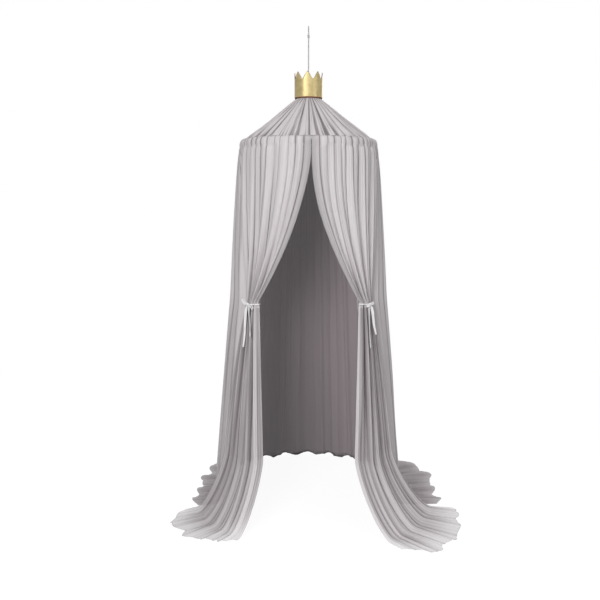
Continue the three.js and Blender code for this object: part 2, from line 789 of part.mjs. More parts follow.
// The tie of one front width: a band round the bundle, a knot on its outer face, two loops, of which the
// outer one tilts up, and two tails. Both ties have their long tail to the left.
function tie(side, hand, loopLength, loopTiltHeight) {
  const centre = around(hand * tieAngle, bundleRadius, tieHeight);
  const outward = around(hand * tieAngle, 1, 0);
  const sideways = new THREE.Vector3(0, 0, 1).cross(outward).multiplyScalar(hand);
  const up = new THREE.Vector3(0, 0, 1);
  const place = (across, out, rise) =>
    centre
      .clone()
      .addScaledVector(sideways, across)
      .addScaledVector(outward, out)
      .addScaledVector(up, rise);
  const bandInner = {
    across: bundleWidth / 2 + clothThickness + ribbonGap,
    out: bundleDepth / 2 + clothThickness + ribbonGap,
  };
  const bandAt = (offset) => (column, row) => {
    const angle = (fullTurn * column) / tieBandSteps;
    const across = (bandInner.across + offset) * Math.cos(angle);
    return place(across, (bandInner.out + offset) * Math.sin(angle), (row - 0.5) * ribbonWidth);
  };
  add(
    `${side}_tie_band`,
    wallBetween(tieBandSteps, 1, bandAt(ribbonThickness), bandAt(0), true),
    satin,
  );

  const knotOut = bandInner.out + ribbonThickness + seatGap + bowKnotDepth;
  const knot = new THREE.SphereGeometry(bowKnotRadius, 2 * cordSides, cordSides);
  knot.scale(1, bowKnotDepth / bowKnotRadius, 1);
  knot.applyMatrix4(
    new THREE.Matrix4().makeBasis(sideways.clone().multiplyScalar(hand), outward.clone().negate(), up),
  );
  const knotAt = place(0, knotOut, 0);
  knot.translate(knotAt.x, knotAt.y, knotAt.z);
  add(`${side}_bow_knot`, knot, satin);

  for (const [name, way] of [["inner", 1], ["outer", -1]]) {
    const routeAt = (share) => {
      const turn = fullTurn * (share - 0.5);
      const outShare = (1 + Math.cos(turn)) / 2;
      const reach = bowKnotRadius + seatGap + loopLength * outShare;
      const depth = (bowLoopDepth / 2) * Math.sin(turn) + Math.sign(share - 0.5) * ribbonThickness;
      return place(way * reach, knotOut + depth, -way * loopTiltHeight * outShare ** 2);
    };
    add(`${side}_bow_loop_${name}`, ribbon(routeAt, up, bowSteps), satin);
  }

  const tails = [
    ["long", -hand, longTailLength, longTailSpreadWidth],
    ["short", hand, shortTailLength, shortTailSpreadWidth],
  ];
  for (const [name, way, length, spread] of tails) {
    const routeAt = (share) => {
      const start = bowKnotRadius + seatGap;
      const width = ribbonWidth * mix(tailPinchShare, 1, smooth(share / tailPinchEndShare));
      const across = way * (width / 2 + ribbonGap / 2 + spread * share);
      const lean = tailLeanDepth * share * (length / longTailLength);
      return place(across, knotOut + lean, -start - length * share);
    };
    add(`${side}_tail_${name}`, ribbon(routeAt, sideways, tailSteps, tailPinchShare), satin);
  }
}

const trains = {
  left: train(1, leftBendLength, leftTrainLength, leftTrainShares, leftTrainAngles),
  right: train(-1, rightBendLength, rightTrainLength, rightTrainShares, rightTrainAngles),
};
const sides = {
  left: sideWidth(1, leftSideRunLength, leftSideRunAngle, leftSideShares),
  right: sideWidth(-1, rightSideRunLength, rightSideRunAngle, rightSideShares),
};
for (const [side, hand, loopLength, loopTilt] of [
  ["left", 1, leftLoopLength, leftLoopTiltHeight],
  ["right", -1, rightLoopLength, rightLoopTiltHeight],
]) {
  add(`front_${side}_heading`, frontCloth(hand, headingHeights), voile);
  add(`front_${side}_drape`, frontCloth(hand, drapeHeights), voile);
  add(`front_${side}_foot`, frontCloth(hand, footHeights), voile);
  add(`front_${side}_train`, trains[side], voile);
  add(`side_${side}_curtain`, sides[side], voile);
  tie(side, hand, loopLength, loopTilt);
}
const backCurtain = hangingWidth(backPoint, () => backRunLength, (share, outward) => outward);
add("back_curtain", backCurtain, voile);

export default canopy;
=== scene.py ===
"""Dressed model of a crown canopy for a bed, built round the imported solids.

A gathered tulle tent hangs from one cord. A gold leather crown sits on its pleated roof, a wire
hoop spreads the roof, and curtains hang from the hoop to the floor. The two front curtains are
drawn aside in ribbon ties and run out over the floor.

Lengths are metres. Heights are above the floor, and angles are degrees that go round from the
front, -Y, and grow towards -X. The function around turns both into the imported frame.
"""
import logging
import math
from dataclasses import dataclass
from enum import Enum
from typing import Callable, Sequence

import bmesh
import bpy
import numpy as np
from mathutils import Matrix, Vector


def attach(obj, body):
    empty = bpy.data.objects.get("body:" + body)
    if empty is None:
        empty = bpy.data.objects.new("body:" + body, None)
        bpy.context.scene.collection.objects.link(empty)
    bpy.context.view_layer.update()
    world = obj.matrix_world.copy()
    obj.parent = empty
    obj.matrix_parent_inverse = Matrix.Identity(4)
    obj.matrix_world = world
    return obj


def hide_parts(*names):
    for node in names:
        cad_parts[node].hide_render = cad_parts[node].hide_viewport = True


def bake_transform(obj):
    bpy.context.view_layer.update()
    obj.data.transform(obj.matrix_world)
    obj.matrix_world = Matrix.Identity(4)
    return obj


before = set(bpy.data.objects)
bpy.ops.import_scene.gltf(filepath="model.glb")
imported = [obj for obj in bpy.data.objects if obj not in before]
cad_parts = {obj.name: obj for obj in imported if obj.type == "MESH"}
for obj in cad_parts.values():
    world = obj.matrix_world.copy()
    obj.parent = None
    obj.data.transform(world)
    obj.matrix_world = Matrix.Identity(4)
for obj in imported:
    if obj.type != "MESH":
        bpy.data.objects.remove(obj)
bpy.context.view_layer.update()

Array = np.ndarray
Amount = Array | float
Colour = tuple[float, float, float]
Span = tuple[float, float]
Socket = bpy.types.NodeSocket
Value = float | Sequence[float] | Socket
Outputs = bpy.types.bpy_prop_collection
Tree = bpy.types.NodeTree
Piece = bpy.types.Object
UP = np.array([0.0, 0.0, 1.0])
log = logging.getLogger("crown_canopy")


@dataclass(frozen=True)
class TentPlan:
    """Sizes that the sub-assemblies share."""

    hang_height: float = 2.128
    rim_height: float = 1.642
    neck_rise: float = 0.209
    hoop_radius: float = 0.285
    seat: float = 0.0003
    width_angle: float = 72.0
    folds: int = 5
    rim_fold_depth: float = 0.009
    hem_fold_depth: float = 0.022
    shoulder: float = 0.016
    shoulder_drop: float = 0.09
    shoulder_power: float = 0.6
    shoulder_start: float = 0.0055
    roll_reach: float = 0.0076
    roll_relief: float = 0.0032
    roll_rise: float = 0.0017
    roll_fall: float = 0.028
    roll_ease: float = 0.02
    bell_spread: float = 0.12
    bell_power: float = 1.2
    bend_radius: float = 0.045
    bend_power: float = 1.45
    front_bend: float = 0.3
    floor_fold_depth: float = 0.015
    heading_depth: float = 0.1
    tie_height: float = 0.962
    tie_angle: float = 43.5
    bundle_radius: float = 0.342
    bundle_width: float = 0.066
    bundle_depth: float = 0.044
    ribbon_width: float = 0.013
    tunnel_radius: float = 0.00824
    foot_height: float = 0.38

    @property
    def neck_height(self) -> float:
        """Height of the neck, where the gathered roof meets the washer."""
        return self.rim_height + self.neck_rise

    @property
    def cloth_radius(self) -> float:
        """Radius of the curtain's middle line under the rim."""
        return self.hoop_radius + self.rim_fold_depth / 2

    @property
    def cloth_top(self) -> float:
        """Height at which the curtain leaves the rim."""
        return self.rim_height - self.tunnel_radius - self.seat

    @property
    def roll_foot(self) -> float:
        """Height at which the cloth has turned down over the rim."""
        return self.rim_height + self.tunnel_radius + self.roll_rise - self.roll_fall

    @property
    def tie_top(self) -> float:
        """Height at which the drawn cloth reaches its narrowest."""
        return self.tie_height + self.ribbon_width

    @property
    def tie_bottom(self) -> float:
        """Height at which the drawn cloth widens again."""
        return self.tie_height - self.ribbon_width

    def shoulder_at(self, height: Amount) -> Array:
        """How far the gathered cloth stands out over the hoop.

        Args:
            height: heights above the floor.

        Returns:
            The distance at each.
        """
        share = np.clip((self.cloth_top - height) / self.shoulder_drop, 0.0, 1.0)
        rise = np.sin(np.pi / 2 * share) ** self.shoulder_power
        return mix(self.shoulder_start, self.shoulder, rise)

    def rim_side(self, relief: Array) -> Array:
        """Radius of the cloth where it hangs down over the outer side of the rim."""
        return self.hoop_radius + self.tunnel_radius + self.roll_reach + self.roll_relief * relief

    def freed(self, height: Amount) -> Array:
        """How free of the rim's roll the cloth hangs at some heights, from 0 to 1."""
        return smooth((self.roll_foot - height) / self.roll_ease)

    def way_down(self, height: Amount) -> Array:
        """The share of the way down from the rim to the floor at some heights."""
        return (self.rim_height - height) / self.rim_height

    def above_tie(self, height: Amount) -> Array:
        """The share of the way down from the rim to the tie at some heights."""
        return np.clip((self.cloth_top - height) / (self.cloth_top - self.tie_top), 0.0, 1.0)

    def dropped(self, height: Amount) -> Array:
        """The share of the way down from the rim to the bend at the floor."""
        return np.clip((self.cloth_top - height) / (self.cloth_top - self.bend_radius), 0.0, 1.0)


PLAN = TentPlan()


class Side(Enum):
    """The side of the doorway, with the way its angles grow."""

    LEFT = 1
    RIGHT = -1

    @property
    def word(self) -> str:
        """The side's name as the nodes and bodies spell it."""
        return self.name.lower()


def mix(start: Amount, end: Amount, share: Amount) -> Array:
    """A value between start and end at a share of the way."""
    return start + (end - start) * share


def smooth(share: Amount) -> Array:
    """A share held to 0 and 1, with no slope at either end."""
    held = np.clip(share, 0.0, 1.0)
    return held * held * (3.0 - 2.0 * held)


def between(values: Sequence[float], share: Array) -> Array:
    """A value between evenly spaced ones, smoothly.

    Args:
        values: the table of values.
        share: shares of the way along the table.

    Returns:
        One value for each share.
    """
    table = np.asarray(values, float)
    place = np.clip(share, 0.0, 1.0) * (len(table) - 1)
    low = np.minimum(place.astype(int), len(table) - 2)
    return mix(table[low], table[low + 1], smooth(place - low))


def around(angle: Amount, radius: Amount, height: Amount) -> Array:
    """Points at angles round the tent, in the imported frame.

    Args:
        angle: degrees from the front, towards -X.
        radius: distance from the tent's axis.
        height: height above the floor.

    Returns:
        An array whose last axis is x, y, z.
    """
    turn = np.radians(angle)
    rise = np.asarray(height) - PLAN.hang_height
    level = (-radius * np.sin(turn), -radius * np.cos(turn))
    return np.stack(np.broadcast_arrays(*level, rise), axis=-1)


def way(angle: Amount) -> Array:
    """The level way that points out from the tent's axis at some angles."""
    return around(angle, 1.0, PLAN.hang_height)


@dataclass(frozen=True)
class FoldField:
    """Irregular hanging folds: rounded ridges with narrow creases between them."""

    folds: int
    seed: int
    roundness: float = 0.6
    drift: float = 0.3
    wander: float = 0.1
    levels: int = 6
    fading_share: float = 0.35
    wraps: bool = False
    fade_length: float = 0.25
    never: float = 9.0

    def at(self, across: Amount, down: Amount) -> Array:
        """How far the cloth stands out.

        Args:
            across: share of the way across the cloth.
            down: share of the way down it.

        Returns:
            Values from -1 in a crease to 1 on a ridge.
        """
        rng = np.random.default_rng(self.seed)
        count = self.folds + 1
        table = (count, self.levels)
        ridge = rng.uniform(0.25, 1.0, table)
        crease = rng.uniform(-1.0, -0.45, table)
        shift = self.drift * rng.uniform(-1.0, 1.0, (count, 1))
        shift = shift + self.wander * rng.uniform(-1.0, 1.0, table)
        fades = rng.random(count) < self.fading_share
        fade_from = np.where(fades, rng.uniform(0.1, 0.7, count), self.never)
        if self.wraps:
            for values in (ridge, crease, shift, fade_from):
                values[-1] = values[0]
        else:
            shift[[0, -1]] = 0.0
            crease[[0, -1]] = 0.2
            fade_from[[0, -1]] = self.never
        across, down = np.broadcast_arrays(np.asarray(across, float), np.asarray(down, float))
        level = np.clip(down, 0.0, 1.0) * (self.levels - 1)
        low = np.minimum(level.astype(int), self.levels - 2)
        rise = smooth(level - low)

        def held(fold: Array) -> Array:
            """A fold's row in the tables."""
            return fold % self.folds if self.wraps else np.clip(fold, 0, self.folds)

        def look(values: Array, fold: Array) -> Array:
            """A table's value for some folds, smoothly between levels."""
            return mix(values[held(fold), low], values[held(fold), low + 1], rise)

        def sunk(fold: Array) -> Array:
            """How deep a crease is, with those that fade out on the way down."""
            fade = smooth((down - fade_from[held(fold)]) / self.fade_length)
            return mix(look(crease, fold), 0.35 * look(ridge, fold), fade)

        place = across * self.folds
        fold = np.floor(place).astype(int)
        place = place + mix(look(shift, fold), look(shift, fold + 1), place - fold)
        fold = np.floor(place).astype(int)
        part = place - fold
        bump = np.sin(np.pi * part) ** self.roundness
        return mix(mix(sunk(fold), sunk(fold + 1), part), look(ridge, fold), bump)


@dataclass(frozen=True)
class Relief:
    """Two scales of folds that lie on the main wave of one or more widths of cloth."""

    seed: int
    widths: int = 1

    def broad(self, across: Amount, down: Amount) -> Array:
        """The broad folds at shares of the way across and down."""
        return FoldField(12 * self.widths, self.seed).at(across, down)

    def fine(self, across: Amount, down: Amount) -> Array:
        """The fine folds at shares of the way across and down."""
        shape = {"roundness": 1.0, "drift": 0.3, "wander": 0.15, "levels": 9}
        return FoldField(37 * self.widths, self.seed + 50, **shape).at(across, down)


def painted_fold_shade(relief: Array) -> Array:
    """Painted shade of folds: 0 and darkest in the deepest crease, 1 and lit on the highest ridge.
    """
    return 0.5 + 0.5 * relief


class MeshParts:
    """Gathers swept and gridded surfaces into one mesh."""

    def __init__(self) -> None:
        """Starts empty."""
        self.points: list[Array] = []
        self.faces: list[tuple[int, ...]] = []
        self.uvs: list[Array] = []
        self.masks: dict[str, Array] = {}
        self.count = 0

    def grid(
        self, points: Array, size: Span, ring: bool = False, closed: bool = False, **masks: Array
    ) -> "MeshParts":
        """Adds a sheet of rows and columns.

        Args:
            points: rows, columns and x, y, z.
            size: the sheet's width and length, which its u and v measure.
            ring: whether the last column meets the first.
            closed: whether the last row meets the first.
            masks: values for each point, by attribute name.

        Returns:
            These parts.
        """
        rows, columns = points.shape[:2]
        spans = (rows if closed else rows - 1, columns if ring else columns - 1)
        row, column = np.meshgrid(np.arange(spans[0]), np.arange(spans[1]), indexing="ij")
        quads, u, v = [], [], []
        for r, c in ((0, 0), (0, 1), (1, 1), (1, 0)):
            quads.append((row + r) % rows * columns + (column + c) % columns + self.count)
            u.append((column + c) / spans[1] * size[0])
            v.append((row + r) / spans[0] * size[1])
        self.points.append(points.reshape(-1, 3))
        self.faces += [tuple(face) for face in np.stack(quads, axis=-1).reshape(-1, 4).tolist()]
        corners = [np.stack(values, axis=-1) for values in (u, v)]
        self.uvs.append(np.stack(corners, axis=-1).reshape(-1, 2))
        for name, values in masks.items():
            self.masks[name] = np.broadcast_to(values, points.shape[:-1]).ravel()
        self.count += rows * columns
        return self

    def swept(
        self, sections: Array, size: Span, closed: bool = False, **masks: Array
    ) -> "MeshParts":
        """Adds a closed section carried along a route, with capped ends unless the route closes.

        Args:
            sections: sections, points round each, and x, y, z.
            size: the way round and the length, which u and v measure.
            closed: whether the route comes back to its start.
            masks: values for each point, by attribute name.

        Returns:
            These parts.
        """
        start, sides = self.count, sections.shape[1]
        self.grid(sections, size, True, closed, **masks)
        if not closed:
            self.faces.append(tuple(range(start + sides - 1, start - 1, -1)))
            self.faces.append(tuple(range(self.count - sides, self.count)))
            self.uvs.append(np.zeros((2 * sides, 2)))
        return self

    def build(self, name: str, cloth: bool = False) -> Piece:
        """Makes the object.

        Args:
            name: the piece's name.
            cloth: whether it is an open cloth, which turns over as a whole where it faces the
                tent's axis. Otherwise each closed part is turned to face outwards.

        Returns:
            The new object, linked to the scene.
        """
        mesh = bpy.data.meshes.new(name)
        mesh.from_pydata(np.concatenate(self.points).tolist(), [], self.faces)
        flat = mesh.uv_layers.new(name="flat")
        flat.data.foreach_set("uv", np.concatenate(self.uvs).astype(np.float32).ravel())
        for mask, values in self.masks.items():
            attribute = mesh.attributes.new(mask, "FLOAT", "POINT")
            attribute.data.foreach_set("value", values.astype(np.float32))
        mesh.polygons.foreach_set("use_smooth", np.ones(len(mesh.polygons), bool))
        mesh.update()
        turn = face_room if cloth else face_out
        turn(mesh)
        piece = bpy.data.objects.new(name, mesh)
        bpy.context.collection.objects.link(piece)
        return piece

    def dressed(
        self, name: str, finish: "Finish", body: str | None, *nodes: str, cloth: bool = False
    ) -> Piece:
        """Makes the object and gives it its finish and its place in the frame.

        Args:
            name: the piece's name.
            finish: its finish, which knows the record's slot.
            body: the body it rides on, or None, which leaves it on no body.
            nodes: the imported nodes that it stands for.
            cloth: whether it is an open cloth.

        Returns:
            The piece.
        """
        piece = self.build(name, cloth)
        piece.data.materials.append(finish.material())
        if body:
            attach(piece, body)
        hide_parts(*nodes)
        log.info("%s: %d faces on %s", name, len(piece.data.polygons), body or "two bodies")
        return piece


def face_out(mesh: bpy.types.Mesh) -> None:
    """Turns the faces of closed parts so that they look out.

    Args:
        mesh: the mesh that it turns.
    """
    solid = bmesh.new()
    solid.from_mesh(mesh)
    bmesh.ops.recalc_face_normals(solid, faces=solid.faces)
    solid.to_mesh(mesh)
    solid.free()


def face_room(mesh: bpy.types.Mesh) -> None:
    """Turns an open cloth over where more of it faces the tent's axis than the room.

    Args:
        mesh: the mesh that it turns.
    """
    count = len(mesh.polygons)
    normals, centres, areas = np.empty(3 * count), np.empty(3 * count), np.empty(count)
    for name, values in (("normal", normals), ("center", centres), ("area", areas)):
        mesh.polygons.foreach_get(name, values)
    outward = centres.reshape(-1, 3) * [1.0, 1.0, 0.0] + [0.0, 0.0, 0.0001]
    if (areas * (normals.reshape(-1, 3) * outward).sum(axis=1)).sum() < 0.0:
        mesh.flip_normals()


def lengths_along(route: Array) -> Array:
    """The length from the start of a route to each of its points."""
    return np.concatenate([[0.0], np.cumsum(np.linalg.norm(np.diff(route, axis=0), axis=1))])


def circle(sides: int) -> tuple[Array, Array]:
    """The cosines and sines of that many even steps round a circle."""
    turn = np.linspace(0.0, 2.0 * np.pi, sides, endpoint=False)
    return np.cos(turn), np.sin(turn)


def tube(
    route: Array, radius: Amount, sides: int = 20, strands: int = 0, lay: float = 0.0
) -> Array:
    """Sections of a round cord along a route.

    Args:
        route: the points it follows.
        radius: its radius, for all points or each.
        sides: points round each section.
        strands: how many strands show as lobes, or 0 for a smooth cord.
        lay: turns of the strands for each metre.

    Returns:
        The sections, for MeshParts.swept.
    """
    tangent = np.gradient(route, axis=0)
    tangent /= np.linalg.norm(tangent, axis=1, keepdims=True)
    side = np.cross(tangent[0], [0.0, 1.0, 0.0])
    if np.linalg.norm(side) < 0.1:
        side = np.cross(tangent[0], [1.0, 0.0, 0.0])
    turn = np.linspace(0.0, 2.0 * np.pi, sides, endpoint=False)
    sections = []
    for point, ahead, reach, gone in zip(
        route, tangent, np.broadcast_to(radius, len(route)), lengths_along(route)
    ):
        side = side - ahead * (side @ ahead)
        side /= np.linalg.norm(side)
        if strands:
            lobe = np.abs(np.sin(strands / 2.0 * (turn - 2.0 * np.pi * lay * gone)))
            reach = reach * (0.93 + 0.07 * lobe**0.7)
        ring = np.outer(reach * np.cos(turn), side)
        sections.append(point + ring + np.outer(reach * np.sin(turn), np.cross(ahead, side)))
    return np.array(sections)


def spline(keys: Array, count: int) -> Array:
    """A smooth open curve through key points.

    Args:
        keys: the points that it goes through.
        count: how many points it has.

    Returns:
        Its evenly spread points.
    """
    ends = np.vstack([2 * keys[0] - keys[1], keys, 2 * keys[-1] - keys[-2]])
    place = np.linspace(0.0, len(keys) - 1.000001, count * 4)
    index = place.astype(int)
    t = (place - index)[:, None]
    a, b, c, d = (ends[index + k] for k in range(4))
    cubic = (3 * b - a - 3 * c + d) * t**3
    curve = 0.5 * (2 * b + (c - a) * t + (2 * a - 5 * b + 4 * c - d) * t**2 + cubic)
    length = lengths_along(curve)
    even = np.linspace(0.0, length[-1], count)
    return np.stack([np.interp(even, length, curve[:, axis]) for axis in range(3)], axis=-1)


class Graph:
    """Adds nodes to one node tree and links them as it goes."""

    def __init__(self, tree: Tree) -> None:
        """Takes the tree that it fills."""
        self.tree = tree

    def give(self, node: bpy.types.Node, values: dict[str | int, Value]) -> None:
        """Gives constants and links to a node's inputs.

        Args:
            node: the node.
            values: a number, colour or socket for each input, by name or number.
        """
        for name, value in values.items():
            socket = node.inputs[name]
            if isinstance(value, Socket):
                self.tree.links.new(value, socket)
            elif socket.type == "RGBA":
                socket.default_value = (*value, 1.0)
            else:
                socket.default_value = value

    def node(
        self, kind: str, values: dict[str | int, Value] | None = None, **settings: object
    ) -> Outputs:
        """Adds one node.

        Args:
            kind: the node's type without the leading ShaderNode.
            values: constants and sockets for its inputs, by name or number.
            settings: its other properties.

        Returns:
            The node's outputs.
        """
        made = self.tree.nodes.new("ShaderNode" + kind)
        for name, setting in settings.items():
            setattr(made, name, setting)
        self.give(made, values or {})
        return made.outputs

    def math(self, operation: str, *values: Value) -> Socket:
        """The result of one Math node."""
        return self.node("Math", dict(enumerate(values)), operation=operation)[0]

    def ramp(
        self, value: Value, low: float, high: float, start: float = 0.0, end: float = 1.0
    ) -> Socket:
        """A value moved smoothly from one range to another and held at both ends."""
        values = {"Value": value, "From Min": low, "From Max": high, "To Min": start, "To Max": end}
        return self.node("MapRange", values, interpolation_type="SMOOTHSTEP")["Result"]

    def blend(self, share: Value, first: Value, second: Value) -> Socket:
        """A colour between two."""
        return self.node("Mix", {0: share, 6: first, 7: second}, data_type="RGBA")[2]

    def mask(self, name: str) -> Socket:
        """A value that the mesh carries for each point."""
        return self.node("Attribute", attribute_name=name)["Fac"]

    def noise(self, **values: Value) -> Socket:
        """The value of one Noise Texture."""
        return self.node("TexNoise", values)["Fac"]

    def bump(self, height: Socket, strength: float, distance: float) -> Socket:
        """Normals that follow a height."""
        return self.node("Bump", {"Height": height, "Strength": strength, "Distance": distance})[0]


def shader_group(
    name: str,
    inputs: dict[str, float],
    fill: Callable[[Graph, Outputs], dict[str, Socket]],
) -> Tree:
    """A node group with named float inputs and outputs, made once.

    Args:
        name: the group's name.
        inputs: its inputs with their defaults.
        fill: takes the graph and the input sockets, and gives the output sockets by name.

    Returns:
        The group's tree.
    """
    found = bpy.data.node_groups.get(name)
    if found:
        return found
    tree = bpy.data.node_groups.new(name, "ShaderNodeTree")
    for label, default in inputs.items():
        socket = tree.interface.new_socket(label, in_out="INPUT", socket_type="NodeSocketFloat")
        socket.default_value = default
    results = fill(Graph(tree), tree.nodes.new("NodeGroupInput").outputs)
    for label in results:
        tree.interface.new_socket(label, in_out="OUTPUT", socket_type="NodeSocketFloat")
    leave = tree.nodes.new("NodeGroupOutput")
    for label, result in results.items():
        tree.links.new(result, leave.inputs[label])
    return tree


def flat_axes(graph: Graph) -> Outputs:
    """The flat cloth's own lengths, across and along."""
    return graph.node("SeparateXYZ", {0: graph.node("UVMap", uv_map="flat")[0]})


def weave_group() -> Tree:
    """Crossed threads, from the flat cloth's own lengths.

    Returns:
        The group's tree, which gives Height and Cover.
    """

    def fill(graph: Graph, given: Outputs) -> dict[str, Socket]:
        """Two sets of threads over and under each other.

        Args:
            graph: the group's own tree.
            given: its inputs.

        Returns:
            Its outputs.
        """
        flat = flat_axes(graph)
        rate = graph.math("DIVIDE", math.pi, given["Pitch"])
        waves = []
        for axis in ("X", "Y"):
            turns = graph.math("MULTIPLY", flat[axis], rate)
            waves.append(graph.math("ABSOLUTE", graph.math("SINE", turns)))
        hole = graph.math("MULTIPLY", given["Openness"], graph.math("MULTIPLY", *waves))
        cover = graph.math("SUBTRACT", 1.0, hole)
        return {"Height": graph.math("MAXIMUM", *waves), "Cover": cover}

    return shader_group("thread_weave", {"Pitch": 0.0012, "Openness": 0.2}, fill)


def streak_group() -> Tree:
    """Long fine creases that run down a cloth or along a brushed metal.

    Returns:
        The group's tree, which gives Fine and Broad.
    """

    def fill(graph: Graph, given: Outputs) -> dict[str, Socket]:
        """Noise drawn out along the cloth, at two widths.

        Args:
            graph: the group's own tree.
            given: its inputs.

        Returns:
            Its outputs.
        """
        flat = flat_axes(graph)
        results = {}
        for label, finer in (("Fine", 1.0), ("Broad", 0.22)):
            place = {"Z": 3.0 * finer}
            for axis, length in (("X", "Width"), ("Y", "Length")):
                part = graph.math("DIVIDE", flat[axis], given[length])
                place[axis] = graph.math("MULTIPLY", part, finer)
            where = graph.node("CombineXYZ", place)[0]
            results[label] = graph.noise(Vector=where, Scale=1.0, Detail=3.0, Roughness=0.6)
        return results

    return shader_group("long_streaks", {"Width": 0.003, "Length": 0.12}, fill)


def grain_group() -> Tree:
    """Leather's grain, or the nap of suede, with slow changes of shade.

    Returns:
        The group's tree, which gives Height, Shade and Nap.
    """

    def fill(graph: Graph, given: Outputs) -> dict[str, Socket]:
        """Cells for the grain and noise for the shade.

        Args:
            graph: the group's own tree.
            given: its inputs.

        Returns:
            Its outputs.
        """
        place, scale = graph.node("TexCoord")["Object"], given["Scale"]
        cells = graph.node("TexVoronoi", {"Vector": place, "Scale": scale}, feature="SMOOTH_F1")
        nap = graph.noise(Vector=place, Scale=scale, Detail=5.0, Roughness=0.7)
        slow = graph.noise(Vector=place, Scale=graph.math("MULTIPLY", scale, 0.05), Detail=3.0)
        return {"Height": graph.math("ADD", cells["Distance"], nap), "Shade": slow, "Nap": nap}

    return shader_group("hide_grain", {"Scale": 900.0}, fill)


def wear_group() -> Tree:
    """Rubbed edges, from the distance to the edge that a mesh carries as its mask edge.

    Returns:
        The group's tree, which gives Worn.
    """

    def fill(graph: Graph, given: Outputs) -> dict[str, Socket]:
        """An edge band broken up by noise.

        Args:
            graph: the group's own tree.
            given: its inputs.

        Returns:
            Its outputs.
        """
        place = graph.node("TexCoord")["Object"]
        noise = graph.noise(Vector=place, Scale=260.0, Detail=4.0, Roughness=0.65)
        reach = graph.math("MULTIPLY", given["Reach"], graph.math("MULTIPLY", noise, 2.0))
        near = graph.math("SUBTRACT", 1.0, graph.math("DIVIDE", graph.mask("edge"), reach))
        return {"Worn": graph.ramp(near, 0.0, 0.6)}

    return shader_group("rubbed_edge", {"Reach": 0.0015}, fill)


@dataclass(frozen=True)
class Finish:
    """What a surface is made of: one Principled shader and the record's slot for it."""

    name: str
    slot: str
    light: Colour
    deep: Colour

    def material(self) -> bpy.types.Material:
        """The finish as a material, made once.

        Returns:
            The material.
        """
        found = bpy.data.materials.get(self.name)
        if found:
            return found
        material = bpy.data.materials.new(self.name)
        material.use_nodes = True
        graph = Graph(material.node_tree)
        shader = material.node_tree.nodes["Principled BSDF"]
        graph.give(shader, self.looks(graph))
        return material

    def looks(self, graph: Graph) -> dict[str, Value]:
        """The shader's inputs."""
        raise NotImplementedError

    def weave(self, graph: Graph, pitch: float, openness: float = 0.0) -> Outputs:
        """Threads that far apart."""
        return graph.node("Group", {"Pitch": pitch, "Openness": openness}, node_tree=weave_group())

    def streaks(self, graph: Graph, width: float, length: float) -> Outputs:
        """Creases of that width and length."""
        return graph.node("Group", {"Width": width, "Length": length}, node_tree=streak_group())

    def grain(self, graph: Graph, scale: float) -> Outputs:
        """Grain of that scale."""
        return graph.node("Group", {"Scale": scale}, node_tree=grain_group())

    def tint(self, graph: Graph, share: Socket, low: float, high: float) -> Socket:
        """The deep colour below one share and the light one above the other."""
        return graph.blend(graph.ramp(share, low, high), self.deep, self.light)


@dataclass(frozen=True)
class TulleFinish(Finish):
    """Sheer gathered cloth: fine threads, long soft creases and a doubled hem."""

    # Painted shade: the inner side of the cloth takes this darker colour.
    inside: Colour
    cover: float = 0.97
    hem_cover: float = 0.55
    hem_width: float = 0.006
    sheer_length: float = 0.16
    # How strongly the crease mask paints shade into the creases.
    painted_crease_shade_tone: float = 0.84

    def looks(self, graph: Graph) -> dict[str, Value]:
        """Painted shade in its creases and on its inner side, and sheerer towards the hem.

        Args:
            graph: the material's own tree.

        Returns:
            The shader's inputs.
        """
        weave = self.weave(graph, 0.0011, 0.07)
        streaks = self.streaks(graph, 0.0035, 0.16)
        lines = graph.ramp(streaks["Fine"], 0.36, 0.66)
        slow = graph.ramp(streaks["Broad"], 0.35, 0.65)
        shade = graph.math("MULTIPLY_ADD", lines, 0.14, graph.math("MULTIPLY", slow, 0.08))
        # Painted shade: the mesh's crease mask colours creases darker and ridges light.
        crease = graph.ramp(graph.mask("crease"), 0.17, 0.66)
        shade = graph.math("MULTIPLY_ADD", crease, self.painted_crease_shade_tone, shade)
        tint = graph.blend(graph.math("MINIMUM", shade, 1.0), self.deep, self.light)
        # Painted shade: faces seen from behind, the inner side, take the darker inside colour.
        back = graph.math("MULTIPLY", graph.node("NewGeometry")["Backfacing"], 0.9)

        hem = graph.mask("hem")
        sheer = graph.ramp(hem, 0.0, self.sheer_length, self.hem_cover, self.cover)
        doubled = graph.ramp(hem, self.hem_width, self.hem_width * 1.15, 0.2, 0.0)
        cover = graph.math("MULTIPLY", sheer, weave["Cover"])
        cover = graph.math("MULTIPLY_ADD", graph.math("SUBTRACT", 1.0, cover), doubled, cover)
        height = graph.math("MULTIPLY_ADD", weave["Height"], 0.12, streaks["Fine"])
        return {
            "Base Color": graph.blend(back, tint, self.inside),
            "Alpha": cover,
            "Normal": graph.bump(height, 0.5, 0.0012),
            "Roughness": graph.math("MULTIPLY_ADD", lines, -0.12, 0.92),
            "Sheen Weight": 0.1,
            "Sheen Tint": (0.9, 0.78, 0.84),
            "Sheen Roughness": 0.5,
            "Specular IOR Level": 0.2,
        }


@dataclass(frozen=True)
class SatinFinish(Finish):
    """Pale ribbon with a soft gloss and a fine weave."""

    def looks(self, graph: Graph) -> dict[str, Value]:
        """Glossier along its threads.

        Args:
            graph: the material's own tree.

        Returns:
            The shader's inputs.
        """
        weave = self.weave(graph, 0.00045)
        streaks = self.streaks(graph, 0.0012, 0.03)
        height = graph.math("MULTIPLY_ADD", weave["Height"], 0.3, streaks["Broad"])
        return {
            "Base Color": self.tint(graph, streaks["Fine"], 0.3, 0.6),
            "Normal": graph.bump(height, 0.25, 0.0004),
            "Roughness": graph.ramp(streaks["Broad"], 0.3, 0.7, 0.26, 0.42),
            "Sheen Weight": 0.1,
        }


